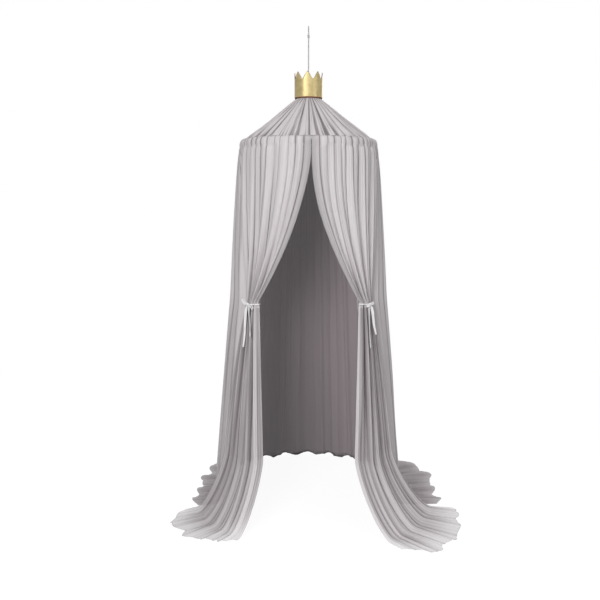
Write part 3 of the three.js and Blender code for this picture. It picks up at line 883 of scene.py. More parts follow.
@dataclass(frozen=True)
class CordFinish(Finish):
    """Twisted cotton."""

    def looks(self, graph: Graph) -> dict[str, Value]:
        """Dull, with short fibres.

        Args:
            graph: the material's own tree.

        Returns:
            The shader's inputs.
        """
        weave = self.weave(graph, 0.0006)
        streaks = self.streaks(graph, 0.0004, 0.002)
        height = graph.math("ADD", streaks["Fine"], weave["Height"])
        return {
            "Base Color": self.tint(graph, streaks["Fine"], 0.3, 0.62),
            "Normal": graph.bump(height, 0.6, 0.0003),
            "Roughness": graph.ramp(streaks["Broad"], 0.3, 0.7, 0.8, 0.95),
        }


@dataclass(frozen=True)
class HideFinish(Finish):
    """Leather, gilded or rough."""

    worn: Colour
    grain_scale: float
    roughness: Span
    metallic: float
    bump: float
    wear_reach: float = 0.0014

    def looks(self, graph: Graph) -> dict[str, Value]:
        """Grained, with its gilding rubbed off at the edges.

        Args:
            graph: the material's own tree.

        Returns:
            The shader's inputs.
        """
        grain = self.grain(graph, self.grain_scale)
        wear = graph.node("Group", {"Reach": self.wear_reach}, node_tree=wear_group())["Worn"]
        shade = graph.math("MULTIPLY_ADD", grain["Nap"], 0.4, grain["Shade"])
        metallic: Value = 0.0
        if self.metallic:
            metallic = graph.math("MULTIPLY", graph.math("SUBTRACT", 1.0, wear), self.metallic)
        return {
            "Base Color": graph.blend(wear, self.tint(graph, shade, 0.45, 0.95), self.worn),
            "Normal": graph.bump(grain["Height"], self.bump, 0.0004),
            "Roughness": graph.ramp(grain["Shade"], 0.35, 0.7, *self.roughness),
            "Metallic": metallic,
        }


@dataclass(frozen=True)
class MetalFinish(Finish):
    """Drawn or polished metal."""

    roughness: Span

    def looks(self, graph: Graph) -> dict[str, Value]:
        """Brushed along its length, with slow changes of shade.

        Args:
            graph: the material's own tree.

        Returns:
            The shader's inputs.
        """
        fine = self.streaks(graph, 0.0006, 0.02)["Fine"]
        return {
            "Base Color": self.tint(graph, self.grain(graph, 500.0)["Shade"], 0.4, 0.65),
            "Normal": graph.bump(fine, 0.1, 0.0002),
            "Roughness": graph.ramp(fine, 0.3, 0.7, *self.roughness),
            "Metallic": 1.0,
        }


@dataclass(frozen=True)
class BeechFinish(Finish):
    """Turned beech with its grain and small flecks."""

    def looks(self, graph: Graph) -> dict[str, Value]:
        """Grain drawn out along one way.

        Args:
            graph: the material's own tree.

        Returns:
            The shader's inputs.
        """
        place = {"Vector": graph.node("TexCoord")["Object"], "Scale": (60.0, 600.0, 600.0)}
        noise = graph.noise(Vector=graph.node("Mapping", place)[0], Scale=1.0, Detail=4.0)
        return {
            "Base Color": self.tint(graph, noise, 0.35, 0.65),
            "Normal": graph.bump(noise, 0.2, 0.0003),
            "Roughness": graph.ramp(noise, 0.3, 0.7, 0.62, 0.45),
        }


# Tulle colours: the lit cloth, the painted shade in its creases, and the painted shade of its inner
# side.
TULLE = TulleFinish(
    "mauve_grey_tulle", "cloth", (0.75, 0.715, 0.73), (0.21, 0.18, 0.193), (0.31, 0.248, 0.27)
)
SATIN = SatinFinish("pale_satin", "ribbon", (0.93, 0.92, 0.93), (0.76, 0.74, 0.755))
COTTON = CordFinish("twisted_cotton", "cord", (0.6, 0.545, 0.56), (0.5, 0.45, 0.465))
BEECH = BeechFinish("turned_beech", "washer", (0.6, 0.4, 0.22), (0.42, 0.26, 0.13))
GOLD = HideFinish(
    "gilded_leather", "crown_gold", (0.46, 0.375, 0.19), (0.35, 0.28, 0.135),
    worn=(0.27, 0.1, 0.05), grain_scale=1100.0, roughness=(0.44, 0.54), metallic=0.88, bump=0.14,
)
SUEDE = HideFinish(
    "rust_suede", "crown_suede", (0.19, 0.062, 0.04), (0.1, 0.03, 0.02),
    worn=(0.26, 0.1, 0.06), grain_scale=2600.0, roughness=(0.9, 1.0), metallic=0.0, bump=0.8,
)
HOOP_STEEL = MetalFinish("hoop_steel", "hoop", (0.62, 0.62, 0.63), (0.42, 0.42, 0.43), (0.28, 0.45))
RIVET_BRASS = MetalFinish(
    "rivet_brass", "rivet", (0.7, 0.53, 0.24), (0.5, 0.36, 0.14), (0.22, 0.36)
)


@dataclass
class Hanger:
    """The cord that carries the tent, with its eye and its two knots."""

    cord_radius: float = 0.0027
    loop_length: float = 0.036
    loop_half_width: float = 0.009
    loop_leg_spread: float = 0.0032
    leg_keys: tuple[Span, ...] = (
        (0.8, -0.18), (1.0, 0.0), (1.0, 0.12), (1.5, 0.34), (2.5, 0.62), (2.5, 0.78), (1.6, 0.93)
    )
    knot_radius: float = 0.0048
    knot_height: float = 0.016
    knot_wraps: int = 5
    stop_knot_radius: float = 0.008
    stop_knot_height: float = 0.012
    stop_knot_wraps: int = 2
    washer_half: float = 0.003
    strands: int = 3
    lay: float = 95.0
    strand_round: float = 0.0144

    @property
    def knot_top(self) -> float:
        """Height of the top of the knot under the eye."""
        return PLAN.hang_height + self.cord_radius - self.loop_length

    @property
    def stop_top(self) -> float:
        """Height of the top of the knot under the washer."""
        return PLAN.neck_height - self.washer_half - PLAN.seat

    def eye(self) -> Piece:
        """The loop that goes over a hook.

        Returns:
            The piece.
        """
        foot = self.knot_top - self.knot_height * 0.4
        rise = PLAN.hang_height - self.knot_top
        widest = self.loop_half_width - 0.0006
        leg = [(min(self.loop_leg_spread * y, widest), up) for y, up in self.leg_keys]
        ends = [(-y, up) for y, up in leg] + [(0.0, 1.0)] + leg[::-1]
        keys = np.array([(0.0, y, self.knot_top + rise * up - PLAN.hang_height) for y, up in ends])
        route = spline(keys, 110)
        route[:, 2] = np.maximum(route[:, 2], foot - PLAN.hang_height)
        sections = tube(route, self.cord_radius * 0.98, 18, self.strands, self.lay)
        parts = MeshParts().swept(sections, (self.strand_round, 0.09))
        return parts.dressed("hanging_eye", COTTON, "hanger", "hanging_loop")

    def knot(
        self, name: str, node: str, top: float, height: float, radius: float, wraps: int
    ) -> Piece:
        """A knot of wound cord.

        Args:
            name: the piece's name.
            node: the node that it stands for.
            top: height of its top.
            height: how tall it is.
            radius: its outer radius.
            wraps: turns of cord that show.

        Returns:
            The piece.
        """
        turns = np.linspace(0.0, wraps, 40 * wraps)
        thick = min(height / wraps / 2.0 * 1.05, self.cord_radius)
        reach = (radius - thick) * (1.0 - 0.1 * np.cos(2.0 * np.pi * turns / wraps))
        reach *= smooth(np.minimum(turns, wraps - turns) / 0.25) * 0.45 + 0.55
        heights = mix(top - thick, top - height + thick, turns / wraps)
        route = around(360.0 * turns, reach, heights + 0.0006 * np.sin(2.0 * np.pi * turns))
        core = around(0.0, 0.0, np.linspace(top - height + 0.0008, top - 0.0008, 12))
        waist = (radius - thick) * np.sin(np.linspace(0.5, math.pi - 0.5, 12)) ** 0.5
        parts = MeshParts()
        parts.swept(tube(route, thick, 14, self.strands, self.lay), (self.strand_round, 0.1))
        parts.swept(tube(core, waist, 18), (0.03, height))
        return parts.dressed(name, COTTON, "hanger", node)

    def build(self) -> None:
        """Makes the cord and the pieces on it."""
        eye = self.eye()
        knot = self.knot(
            "eye_knot", "loop_knot", self.knot_top,
            self.knot_height, self.knot_radius, self.knot_wraps,
        )
        self.knot(
            "end_knot", "stop_knot", self.stop_top,
            self.stop_knot_height, self.stop_knot_radius, self.stop_knot_wraps,
        )
        ends = (self.stop_top + PLAN.seat, self.knot_top - self.knot_height - PLAN.seat)
        route = around(0.0, 0.0, np.linspace(*ends, 90))
        length = float(np.linalg.norm(route[-1] - route[0]))
        sections = tube(route, self.cord_radius, 18, self.strands, self.lay)
        parts = MeshParts().swept(sections, (self.strand_round, length))
        cord = parts.dressed("hanging_cord", COTTON, "hanger", "suspension_cord")


@dataclass
class Neck:
    """The washer that hangs on the stop knot, and the cord wound round the gathered cloth."""

    washer_radius: float = 0.0195
    washer_bore: float = 0.0035
    washer_thickness: float = 0.006
    edge_round: float = 0.0015
    waist_radius: float = 0.0125
    waist_rise: float = 0.013
    binding_radius: float = 0.0014
    binding_turns: int = 4
    binding_lay: float = 160.0
    cloth_half: float = 0.0008

    def washer(self) -> None:
        """The wooden washer, with rounded edges."""
        across = (self.washer_radius - self.washer_bore) / 2 - self.edge_round
        up = self.washer_thickness / 2 - self.edge_round
        middle = (self.washer_radius + self.washer_bore) / 2
        profile = []
        for quarter, (x, y) in enumerate([(1, 1), (-1, 1), (-1, -1), (1, -1)]):
            for turn in math.pi / 2 * (quarter + np.arange(4) / 3):
                reach = x * across + self.edge_round * math.cos(turn) + middle
                height = y * up + self.edge_round * math.sin(turn) + PLAN.neck_height
                profile.append((reach, height))
        rings = np.array(profile)
        angles = np.linspace(0.0, 360.0, 64, endpoint=False)[:, None]
        sections = around(angles, rings[:, 0], rings[:, 1])
        parts = MeshParts().swept(sections, (0.03, 0.12), closed=True)
        parts.dressed("turned_washer", BEECH, "canopy", "top_washer")

    def binding(self) -> None:
        """The cord wound round the waist of the cloth."""
        foot = PLAN.neck_height + self.waist_rise
        turns = np.linspace(0.0, self.binding_turns, 44 * self.binding_turns)
        reach = self.waist_radius + self.cloth_half + PLAN.seat + self.binding_radius
        top = foot + self.binding_radius * 2 * self.binding_turns
        lift = (foot + self.binding_radius, top - self.binding_radius)
        route = around(180.0 + 360.0 * turns, reach, mix(*lift, turns / self.binding_turns))
        sections = tube(route, self.binding_radius, 12, 3, self.binding_lay)
        parts = MeshParts().swept(sections, (0.0088, 0.35))
        parts.dressed("neck_lashing", COTTON, "canopy", "neck_binding")

    def build(self) -> None:
        """Makes the washer and the binding."""
        self.washer()
        self.binding()


@dataclass
class Crown:
    """The gold leather sleeve with eight points, its suede lining and the two rivets at its lap."""

    radius: float = 0.061
    height: float = 0.079
    point_height: float = 0.033
    points: int = 8
    tip_round: float = 0.035
    turn: float = -18.0
    foot: float = 1.8253
    leather: float = 0.0015
    lining: float = 0.001
    lining_lip: float = 0.004
    setback: float = 0.0012
    flap: float = 0.018
    ease: float = 0.01
    rivet_radius: float = 0.0044
    rivet_dome: float = 0.0016
    rivet_shank: float = 0.0016
    rivet_inset: float = 0.017
    steps_per_point: int = 18
    wall_rows: int = 14

    def edge(self, angle: Array) -> Array:
        """Height of the upper edge, with softly rounded tips and valleys.

        Args:
            angle: degrees from the back of the crown.

        Returns:
            The height over the crown's foot at each.
        """
        half = 180.0 / self.points
        away = np.abs(np.mod(angle, 2 * half) - half) / half
        tip = np.sqrt(away**2 + self.tip_round**2) - self.tip_round
        valley = 1.0 - np.sqrt((1.0 - away) ** 2 + self.tip_round**2) + self.tip_round
        return self.height + self.point_height * (1.0 - np.where(away < 0.5, tip, valley))

    def wall(
        self, angle: Array, outer: Array, thickness: float, foot: float, top: Array
    ) -> tuple[Array, Array]:
        """Sections of a thin upright wall with rounded edges.

        Args:
            angle: degrees from the back of the crown, one for each section.
            outer: radius of the outer face at each section.
            thickness: the wall.
            foot: height of the lower edge.
            top: height of the upper edge at each section.

        Returns:
            The sections, and each point's distance to the nearer edge.
        """
        curl = thickness / 2
        rounds = np.linspace(0.0, np.pi, 5)[1:-1]
        sections, edges = [], []
        for turn, reach, crest in zip(angle, outer, top):
            up = np.linspace(foot + curl, crest - curl, self.wall_rows)
            middle, inner = np.full(3, reach - curl), np.full(self.wall_rows, reach - thickness)
            over, under = curl * np.cos(rounds), curl * np.sin(rounds)
            radii = np.concatenate([inner + thickness, middle + over, inner, middle - over])
            heights = np.concatenate([up, crest - curl + under, up[::-1], foot + curl - under])
            sections.append(around(180.0 + self.turn + turn, radii, heights))
            edges.append(np.minimum(crest - heights, heights - foot))
        return np.array(sections), np.array(edges)

    def band(self) -> None:
        """The gold strip, rolled up with its end lapped over its start at the back."""
        flap, ease = math.degrees(self.flap / self.radius), math.degrees(self.ease / self.radius)
        angle = np.linspace(0.0, 360.0 + flap, self.points * self.steps_per_point + 8)
        lift = (self.leather + PLAN.seat) * smooth((angle - 360.0 + ease) / ease)
        rolled = 0.0006 * np.sin(np.radians(angle * 3.0) + 0.8)
        rolled += 0.0004 * np.sin(np.radians(angle * 7.0))
        rolled *= smooth(angle / 25.0) * smooth((340.0 - angle) / 25.0)
        foot, top = self.foot + self.lining_lip, self.foot + self.edge(angle)
        sections, edges = self.wall(angle, self.radius + lift + rolled, self.leather, foot, top)
        parts = MeshParts().swept(sections, (0.19, 0.4), edge=edges)
        parts.dressed("crown_leather", GOLD, "crown", "crown_band")

    def inner(self) -> None:
        """The suede lining, whose lower edge shows under the gold."""
        angle = np.linspace(0.0, 360.0, self.points * self.steps_per_point, endpoint=False)
        outer = np.full(len(angle), self.radius - self.leather - PLAN.seat)
        ragged = 0.0004 * np.sin(np.radians(angle * 11.0))
        ragged += 0.0003 * np.sin(np.radians(angle * 23.0) + 1.0)
        top = self.foot + self.edge(angle) - self.setback + ragged
        sections, edges = self.wall(angle, outer, self.lining, self.foot, top)
        parts = MeshParts().swept(sections, (0.18, 0.38), closed=True, edge=edges)
        parts.dressed("crown_suede_lining", SUEDE, "crown", "crown_lining")

    def rivet(self, word: str, height: float) -> None:
        """A domed rivet through the lap.

        Args:
            word: the rivet's word in the names of its piece and node.
            height: its height above the floor.
        """
        middle = 180.0 + self.turn + math.degrees(self.flap / self.radius) / 2
        out = way(middle)
        side = np.cross(UP, out)
        bore = self.radius - self.leather - self.lining - PLAN.seat
        inner = math.sqrt(bore**2 - self.rivet_radius**2) - PLAN.seat
        outer = self.radius + self.leather + 2 * PLAN.seat
        rings = []
        for t in np.linspace(0.0, math.pi / 2, 9):
            reach = max(self.rivet_radius * math.sin(t), 0.0001)
            rings.append((reach, inner - self.rivet_dome * 0.7 * math.cos(t)))
        rings += [(self.rivet_shank, inner), (self.rivet_shank, outer), (self.rivet_radius, outer)]
        for t in np.linspace(0.0, math.pi / 2, 9):
            reach = max(self.rivet_radius * math.cos(t), 0.0001)
            rings.append((reach, outer + self.rivet_dome * math.sin(t)))
        cosines, sines = circle(28)
        sections = []
        for reach, along in rings:
            ring = np.outer(reach * cosines, side) + np.outer(reach * sines, UP)
            sections.append(out * along + (height - PLAN.hang_height) * UP + ring)
        parts = MeshParts().swept(np.array(sections), (0.028, 0.02))
        parts.dressed(f"rivet_cap_{word}", RIVET_BRASS, "crown", f"crown_rivet_{word}")

    def build(self) -> None:
        """Makes the crown's pieces."""
        self.band()
        self.inner()
        self.rivet("lower", self.foot + self.rivet_inset)
        self.rivet("upper", self.foot + self.height - self.rivet_inset)


@dataclass
class Hoop:
    """Two half rings of wire in two ferrules, and the cloth casing that they lie in."""

    wire_radius: float = 0.0025
    end_gap: float = 0.002
    ferrule_length: float = 0.046
    ferrule_inner: float = 0.00344
    ferrule_outer: float = 0.00444
    casing_wall: float = 0.0014
    casing_columns: int = 720
    casing_sides: int = 20
    casing_turn: float = 154.0

    @property
    def height(self) -> float:
        """Height of the wire, which lies on the floor of its casing."""
        bore = PLAN.tunnel_radius - self.casing_wall
        return PLAN.rim_height - (bore * 0.957 - self.ferrule_outer - PLAN.seat)

    def wires(self) -> None:
        """The two half rings."""
        gap = math.degrees(self.end_gap / 2 / PLAN.hoop_radius)
        for side, start in ((Side.LEFT, 0.0), (Side.RIGHT, 180.0)):
            angles = np.linspace(start + gap, start + 180.0 - gap, 130)
            sections = tube(around(angles, PLAN.hoop_radius, self.height), self.wire_radius, 14)
            parts = MeshParts().swept(sections, (0.0157, 0.93))
            parts.dressed(f"hoop_wire_{side.word}", HOOP_STEEL, "canopy", f"hoop_{side.word}")

    def ferrules(self) -> None:
        """The tubes that join the half rings."""
        half = math.degrees(self.ferrule_length / 2 / PLAN.hoop_radius)
        cosines, sines = circle(20)
        for word, middle in (("front", 0.0), ("back", 180.0)):
            angles = np.linspace(middle - half, middle + half, 14)[:, None]
            outer, inner = (
                around(angles, PLAN.hoop_radius + radius * cosines, self.height + radius * sines)
                for radius in (self.ferrule_outer, self.ferrule_inner)
            )
            loop = np.concatenate([outer, inner[::-1]])
            parts = MeshParts().swept(loop, (0.028, 2 * self.ferrule_length), closed=True)
            parts.dressed(f"hoop_ferrule_{word}", HOOP_STEEL, "canopy", f"hoop_sleeve_{word}")

    def casing(self) -> None:
        """The cloth tube round the hoop, gathered along its length."""
        angles = np.linspace(0.0, 360.0, self.casing_columns, endpoint=False)[None, :]
        turn = np.linspace(-self.casing_turn, self.casing_turn, self.casing_sides)
        turn = np.radians(turn)[:, None]
        gathers = FoldField(150, 71, roundness=1.0, levels=4, wraps=True)
        gather = gathers.at(angles / 360.0, turn / 6.0 + 0.5)
        reach = PLAN.tunnel_radius - 0.0008 + 0.0003 * gather
        radii, rise = PLAN.hoop_radius + reach * np.cos(turn), reach * np.sin(turn)
        points = around(angles, radii, PLAN.rim_height + rise)
        # Painted shade: the casing is coloured darker in its gathers.
        parts = MeshParts().grid(points, (3.0, 0.045), ring=True, crease=painted_fold_shade(gather), hem=1.0)
        parts.dressed("rim_casing", TULLE, "canopy", "rim_tunnel", cloth=True)

    def build(self) -> None:
        """Makes the hoop's pieces."""
        self.wires()
        self.ferrules()
        self.casing()


@dataclass
class Roof:
    """The pleated cone, bound over the washer and ending in a frill inside the crown."""

    columns: int = 612
    pleats: int = 40
    pleat_share: float = 0.27
    foot_depth: float = 0.0022
    small_depth: Span = (0.0007, 0.0016)
    sag: float = 0.011
    foot_radius: float = 0.2835
    foot_rise: float = 0.0105
    washer_reach: float = 0.0214
    waist_radius: float = 0.0125
    waist_foot: float = 0.0114
    waist_height: float = 0.0144
    frill_radius: float = 0.0165
    frill_rise: float = 0.038
    frill_depth: Span = (0.0004, 0.0022)

    def cone(self, across: Array) -> tuple[Array, Array]:
        """The pleated cone from the rim to the washer's edge.

        Args:
            across: the share of the way round for each column.

        Returns:
            Its points and its painted-shade mask, darker in the pleats' creases.
        """
        rise = np.concatenate([np.linspace(0.0, 0.12, 12)[:-1], np.linspace(0.12, 1.0, 56)])
        rise = rise[:, None]
        radius = mix(self.foot_radius, self.washer_reach, rise)
        foot = PLAN.rim_height + self.foot_rise
        height = mix(foot, PLAN.neck_height, rise) - self.sag * np.sin(np.pi * np.sqrt(rise))
        slope = math.atan2(PLAN.neck_height - foot, self.foot_radius - self.washer_reach)
        fade, top = smooth(rise / 0.16), 1.0 - rise**8
        pleats = FoldField(
            self.pleats, 5,
            roundness=0.55, drift=0.33, wander=0.03, levels=4, fading_share=0.2, wraps=True,
        )
        minor = FoldField(
            3 * self.pleats, 9, roundness=0.9, drift=0.3, wander=0.06, levels=6, wraps=True
        )
        big, small = (field.at(across, 1.0 - rise) for field in (pleats, minor))
        pitch = 2 * np.pi * radius / self.pleats
        depth = mix(self.foot_depth, pitch * self.pleat_share, fade)
        wave = (depth * big + mix(*self.small_depth, fade) * small) * top
        radius, height = radius + wave * math.sin(slope), height + wave * math.cos(slope)
        # Painted shade: darker in the pleats' creases, light on their ridges.
        shade = np.clip(0.37 + 0.46 * big + 0.26 * small, 0.0, 1.0) ** 1.3
        return around(360.0 * across, radius, height), shade

    def build(self) -> None:
        """Makes the roof's one cloth."""
        across = np.linspace(0.0, 1.0, self.columns, endpoint=False)[None, :]
        gathers = FoldField(40, 21, roundness=0.9, levels=3, wraps=True).at(across, 0.0)
        points, crease = self.cone(across)
        rings, painted_shades = [points], [crease]
        stops = [
            (self.washer_reach, 0.0),
            (self.waist_radius, self.waist_foot),
            (self.waist_radius, self.waist_foot + self.waist_height),
            (self.frill_radius, self.frill_rise),
        ]
        steps = np.linspace(0.0, 1.0, 9)[1:, None]
        for start, end in zip(stops, stops[1:]):
            loose = mix(*self.frill_depth, steps) if end is stops[-1] else self.frill_depth[0]
            curve = smooth(steps) if start is stops[0] else steps
            reach = mix(start[0], end[0], curve) + loose * gathers
            height = PLAN.neck_height + mix(start[1], end[1], steps)
            rings.append(around(360.0 * across, reach, height))
            # Painted shade of the frill's gathers.
            painted_shades.append(np.broadcast_to(painted_fold_shade(gathers), (len(steps), self.columns)))
        masks = {"crease": np.concatenate(painted_shades), "hem": 1.0}
        parts = MeshParts().grid(np.concatenate(rings), (3.0, 0.44), ring=True, **masks)
        words = ("front_left", "side_left", "back", "side_right", "front_right")
        nodes = [f"roof_{word}" for word in words]
        piece = parts.dressed("roof_cloth", TULLE, "canopy", *nodes, cloth=True)


def rim_roll(
    angles: Array, relief: Array, start: float = 96.0, rows: int = 16, swell: float = 0.0006
) -> Array:
    """Rows of cloth that come up over the hoop's casing, from inside its crest to its outer side.

    Args:
        angles: degrees round the tent for each column.
        relief: the folds at the rim, from -1 to 1 for each column.
        start: degrees up from the casing's outer side to the first row.
        rows: how many rows there are.
        swell: how far the folds lift the crest.

    Returns:
        The points of those rows, from the top down.
    """
    turn = np.radians(np.linspace(start, 0.0, rows))[:, None]
    reach = PLAN.hoop_radius + (PLAN.rim_side(relief) - PLAN.hoop_radius) * np.cos(turn)
    top = PLAN.roll_foot + PLAN.roll_fall + swell * (1.0 + relief) * np.sin(turn)
    return around(angles, reach, top - PLAN.roll_fall * (1.0 - np.sin(turn)))


def hanging_heights(foot: float, rows: tuple[int, int], turned: float = 0.06) -> Array:
    """Heights down a hanging cloth, closer together under the rim.

    Args:
        foot: the lowest height.
        rows: how many rows lie under the rim and how many further down.
        turned: how far under the rim the first of these go.

    Returns:
        The heights from the top down.
    """
    turn = PLAN.cloth_top - turned
    near = np.linspace(PLAN.roll_foot, turn, rows[0])
    return np.concatenate([near, np.linspace(turn, foot, rows[1])[1:]])


def fold_wave(share: Array) -> Array:
    """The main wave of a width of cloth, as the solids have it."""
    return -np.cos(2 * np.pi * PLAN.folds * share)


def painted_crease_shade(broad: Array, fine: Array) -> Array:
    """Painted shade in the creases of two scales of folds, darker where they sink."""
    return painted_fold_shade(mix(broad, fine, 0.25))


def eased(points: Array, rounds: int) -> Array:
    """Rows of cloth with the turns between them made softer.

    Args:
        points: the rows, of which the first and last stay as they are.
        rounds: how many times each row moves towards its neighbours.

    Returns:
        The softened rows.
    """
    points = points.copy()
    for _ in range(rounds):
        points[1:-1] = 0.25 * (points[:-2] + 2.0 * points[1:-1] + points[2:])
    return points


def hem_distance(points: Array) -> tuple[float, Array]:
    """How long a cloth is.

    Args:
        points: its rows and columns of points, from the top down.

    Returns:
        The mean length of its columns, and each point's distance down its column to the hem.
    """
    steps = np.linalg.norm(np.diff(points, axis=0), axis=-1)
    left = np.cumsum(steps[::-1], axis=0)[::-1]
    return float(left[0].mean()), np.concatenate([left, np.zeros((1, points.shape[1]))])


def ragged_hem(place: Array, seed: int) -> Array:
    """How far the hem's points and notches stand from its line.

    Args:
        place: places counted in widths of cloth.
        seed: the cloth's own seed.

    Returns:
        The distance at each place.
    """
    shape = {"drift": 0.4, "wander": 0.0}
    points = FoldField(9, seed + 7, roundness=1.0, **shape).at(place / 3.0, 0.5)
    notches = FoldField(26, seed + 8, roundness=0.8, **shape).at(place / 3.0, 0.5)
    return 0.009 * fold_wave(place) + 0.013 * points + 0.009 * notches


@dataclass
class FloorRun:
    """Cloth that turns on the floor and runs out over it.

    stand is where each column's middle line meets the floor, outward the way its folds stand out
    above the bend, away the way it runs over the floor, and reach how far it runs. wave has the
    main folds, half_depth half their depth above the bend, and bend its height and length.
    """

    stand: Array
    outward: Array
    away: Array
    reach: Array
    wave: Array
    half_depth: float
    bend: Span
    bend_rows: int = 40
    run_rows: int = 30
    bend_depth: float = 0.006
    run_depths: Span = (0.0045, 0.0025)
    fine_depth: float = 0.0008
    flattened: float = 0.55
    clearance: float = 0.0018

    def points(self, relief: Relief, share: Array) -> tuple[Array, Array]:
        """The cloth from the bend to the hem.

        Args:
            relief: the smaller folds.
            share: the share of the way across the cloth for each column.

        Returns:
            The points and the painted-shade mask, darker in the creases.
        """
        turn = np.linspace(0.0, np.pi / 2, self.bend_rows + 1)[1:]
        turn = np.concatenate([turn, np.full(self.run_rows, np.pi / 2)])[:, None]
        run = np.linspace(0.0, 1.0, self.run_rows + 1)[1:]
        run = np.concatenate([np.zeros(self.bend_rows), run])[:, None]
        part = mix(0.7 * turn / (np.pi / 2), 1.0, run)
        down = mix(1.0 - self.bend[0] / PLAN.rim_height, 1.0, part)
        broad, fine = relief.broad(share, down), relief.fine(share, down)
        flat, upright = np.sin(turn), np.clip(np.cos(turn), 0.0, 1.0)
        lying = PLAN.floor_fold_depth / 2 * mix(1.0, self.flattened, run)
        level = mix(self.half_depth, lying, flat)
        small = mix(self.bend_depth, mix(*self.run_depths, run), flat)
        offset = level * self.wave + small * broad + self.fine_depth * fine
        points = np.broadcast_to(self.stand, (len(turn), *self.stand.shape)).copy()
        lift = (level + small + self.clearance) * flat
        lift = self.bend[0] * (1.0 - flat**PLAN.bend_power) + lift
        points[..., 2] = lift + offset * flat - PLAN.hang_height
        gone = self.bend[1] * (1.0 - upright**PLAN.bend_power) + run * self.reach
        points += self.away * gone[..., None] + self.outward * (offset * upright)[..., None]
        # Painted shade, darker in the creases.
        return points, painted_crease_shade(broad, fine)


@dataclass
class FrontSection:
    """How a drawn front width lies at its heights, as the solids have it."""

    end_share: float = 0.3
    fan_angle: float = 48.2
    fan_radius: float = 0.402
    fan_width: float = 0.261
    fan_depth: float = 0.026
    slit: float = 0.002
    meet_share: float = 0.06
    meet_power: float = 1.75
    inner_power: float = 1.9
    outer_power: float = 1.3
    fan_power: float = 0.8

    def at(self, height: Amount) -> dict[str, Array]:
        """The edges, radius and fold depth at some heights.

        Args:
            height: heights above the floor.

        Returns:
            The angles of the inner and outer edge, the radius, half the fold depth, how far the
            cloth is gathered, and how far down it is from the rim to the tie and below that.
        """
        height = np.asarray(height, float)
        above = PLAN.above_tie(height)
        below = (PLAN.tie_bottom - height) / (PLAN.tie_bottom - PLAN.front_bend)
        below = np.clip(below, 0.0, 1.0) ** self.fan_power
        centre = mix(PLAN.tie_angle, self.fan_angle, below)
        bundle, fan = PLAN.bundle_width / PLAN.bundle_radius, self.fan_width / self.fan_radius
        half = mix(math.degrees(bundle / 2), math.degrees(fan / 2), below)
        slit = math.degrees(self.slit / 2 / PLAN.cloth_radius)
        met = np.clip((above - self.meet_share) / (1.0 - self.meet_share), 0.0, 1.0)
        drawn = above**self.inner_power
        radius = mix(PLAN.cloth_radius + PLAN.shoulder_at(height), PLAN.bundle_radius, above)
        depth = mix(PLAN.rim_fold_depth, PLAN.bundle_depth, drawn)
        return {
            "inner": mix(slit, centre - half, met**self.meet_power),
            "outer": mix(PLAN.width_angle, centre + half, above**self.outer_power),
            "radius": mix(radius, self.fan_radius, below),
            "depth": mix(depth, self.fan_depth, below) / 2,
            "gathered": drawn * (1.0 - below),
            "above": above,
            "below": below,
        }

    def angles(self, height: float, share: Array) -> Array:
        """Degrees from the front at a height, for shares of the way across."""
        section = self.at(height)
        return mix(section["inner"], section["outer"], share)

    def rounding(self, share: Array, gathered: Array) -> Array:
        """How much shallower the folds are towards the sides of the bundle."""
        curve = np.sqrt(1.0 - (1.0 - self.end_share**2) * (2.0 * share - 1.0) ** 2)
        return mix(1.0, curve, gathered)


FRONT = FrontSection()


@dataclass
class Train:
    """How the cloth of one front width lies on the floor: its run and the way it runs."""

    bend_length: float
    run: float
    shares: tuple[float, ...]
    angles: tuple[float, ...]


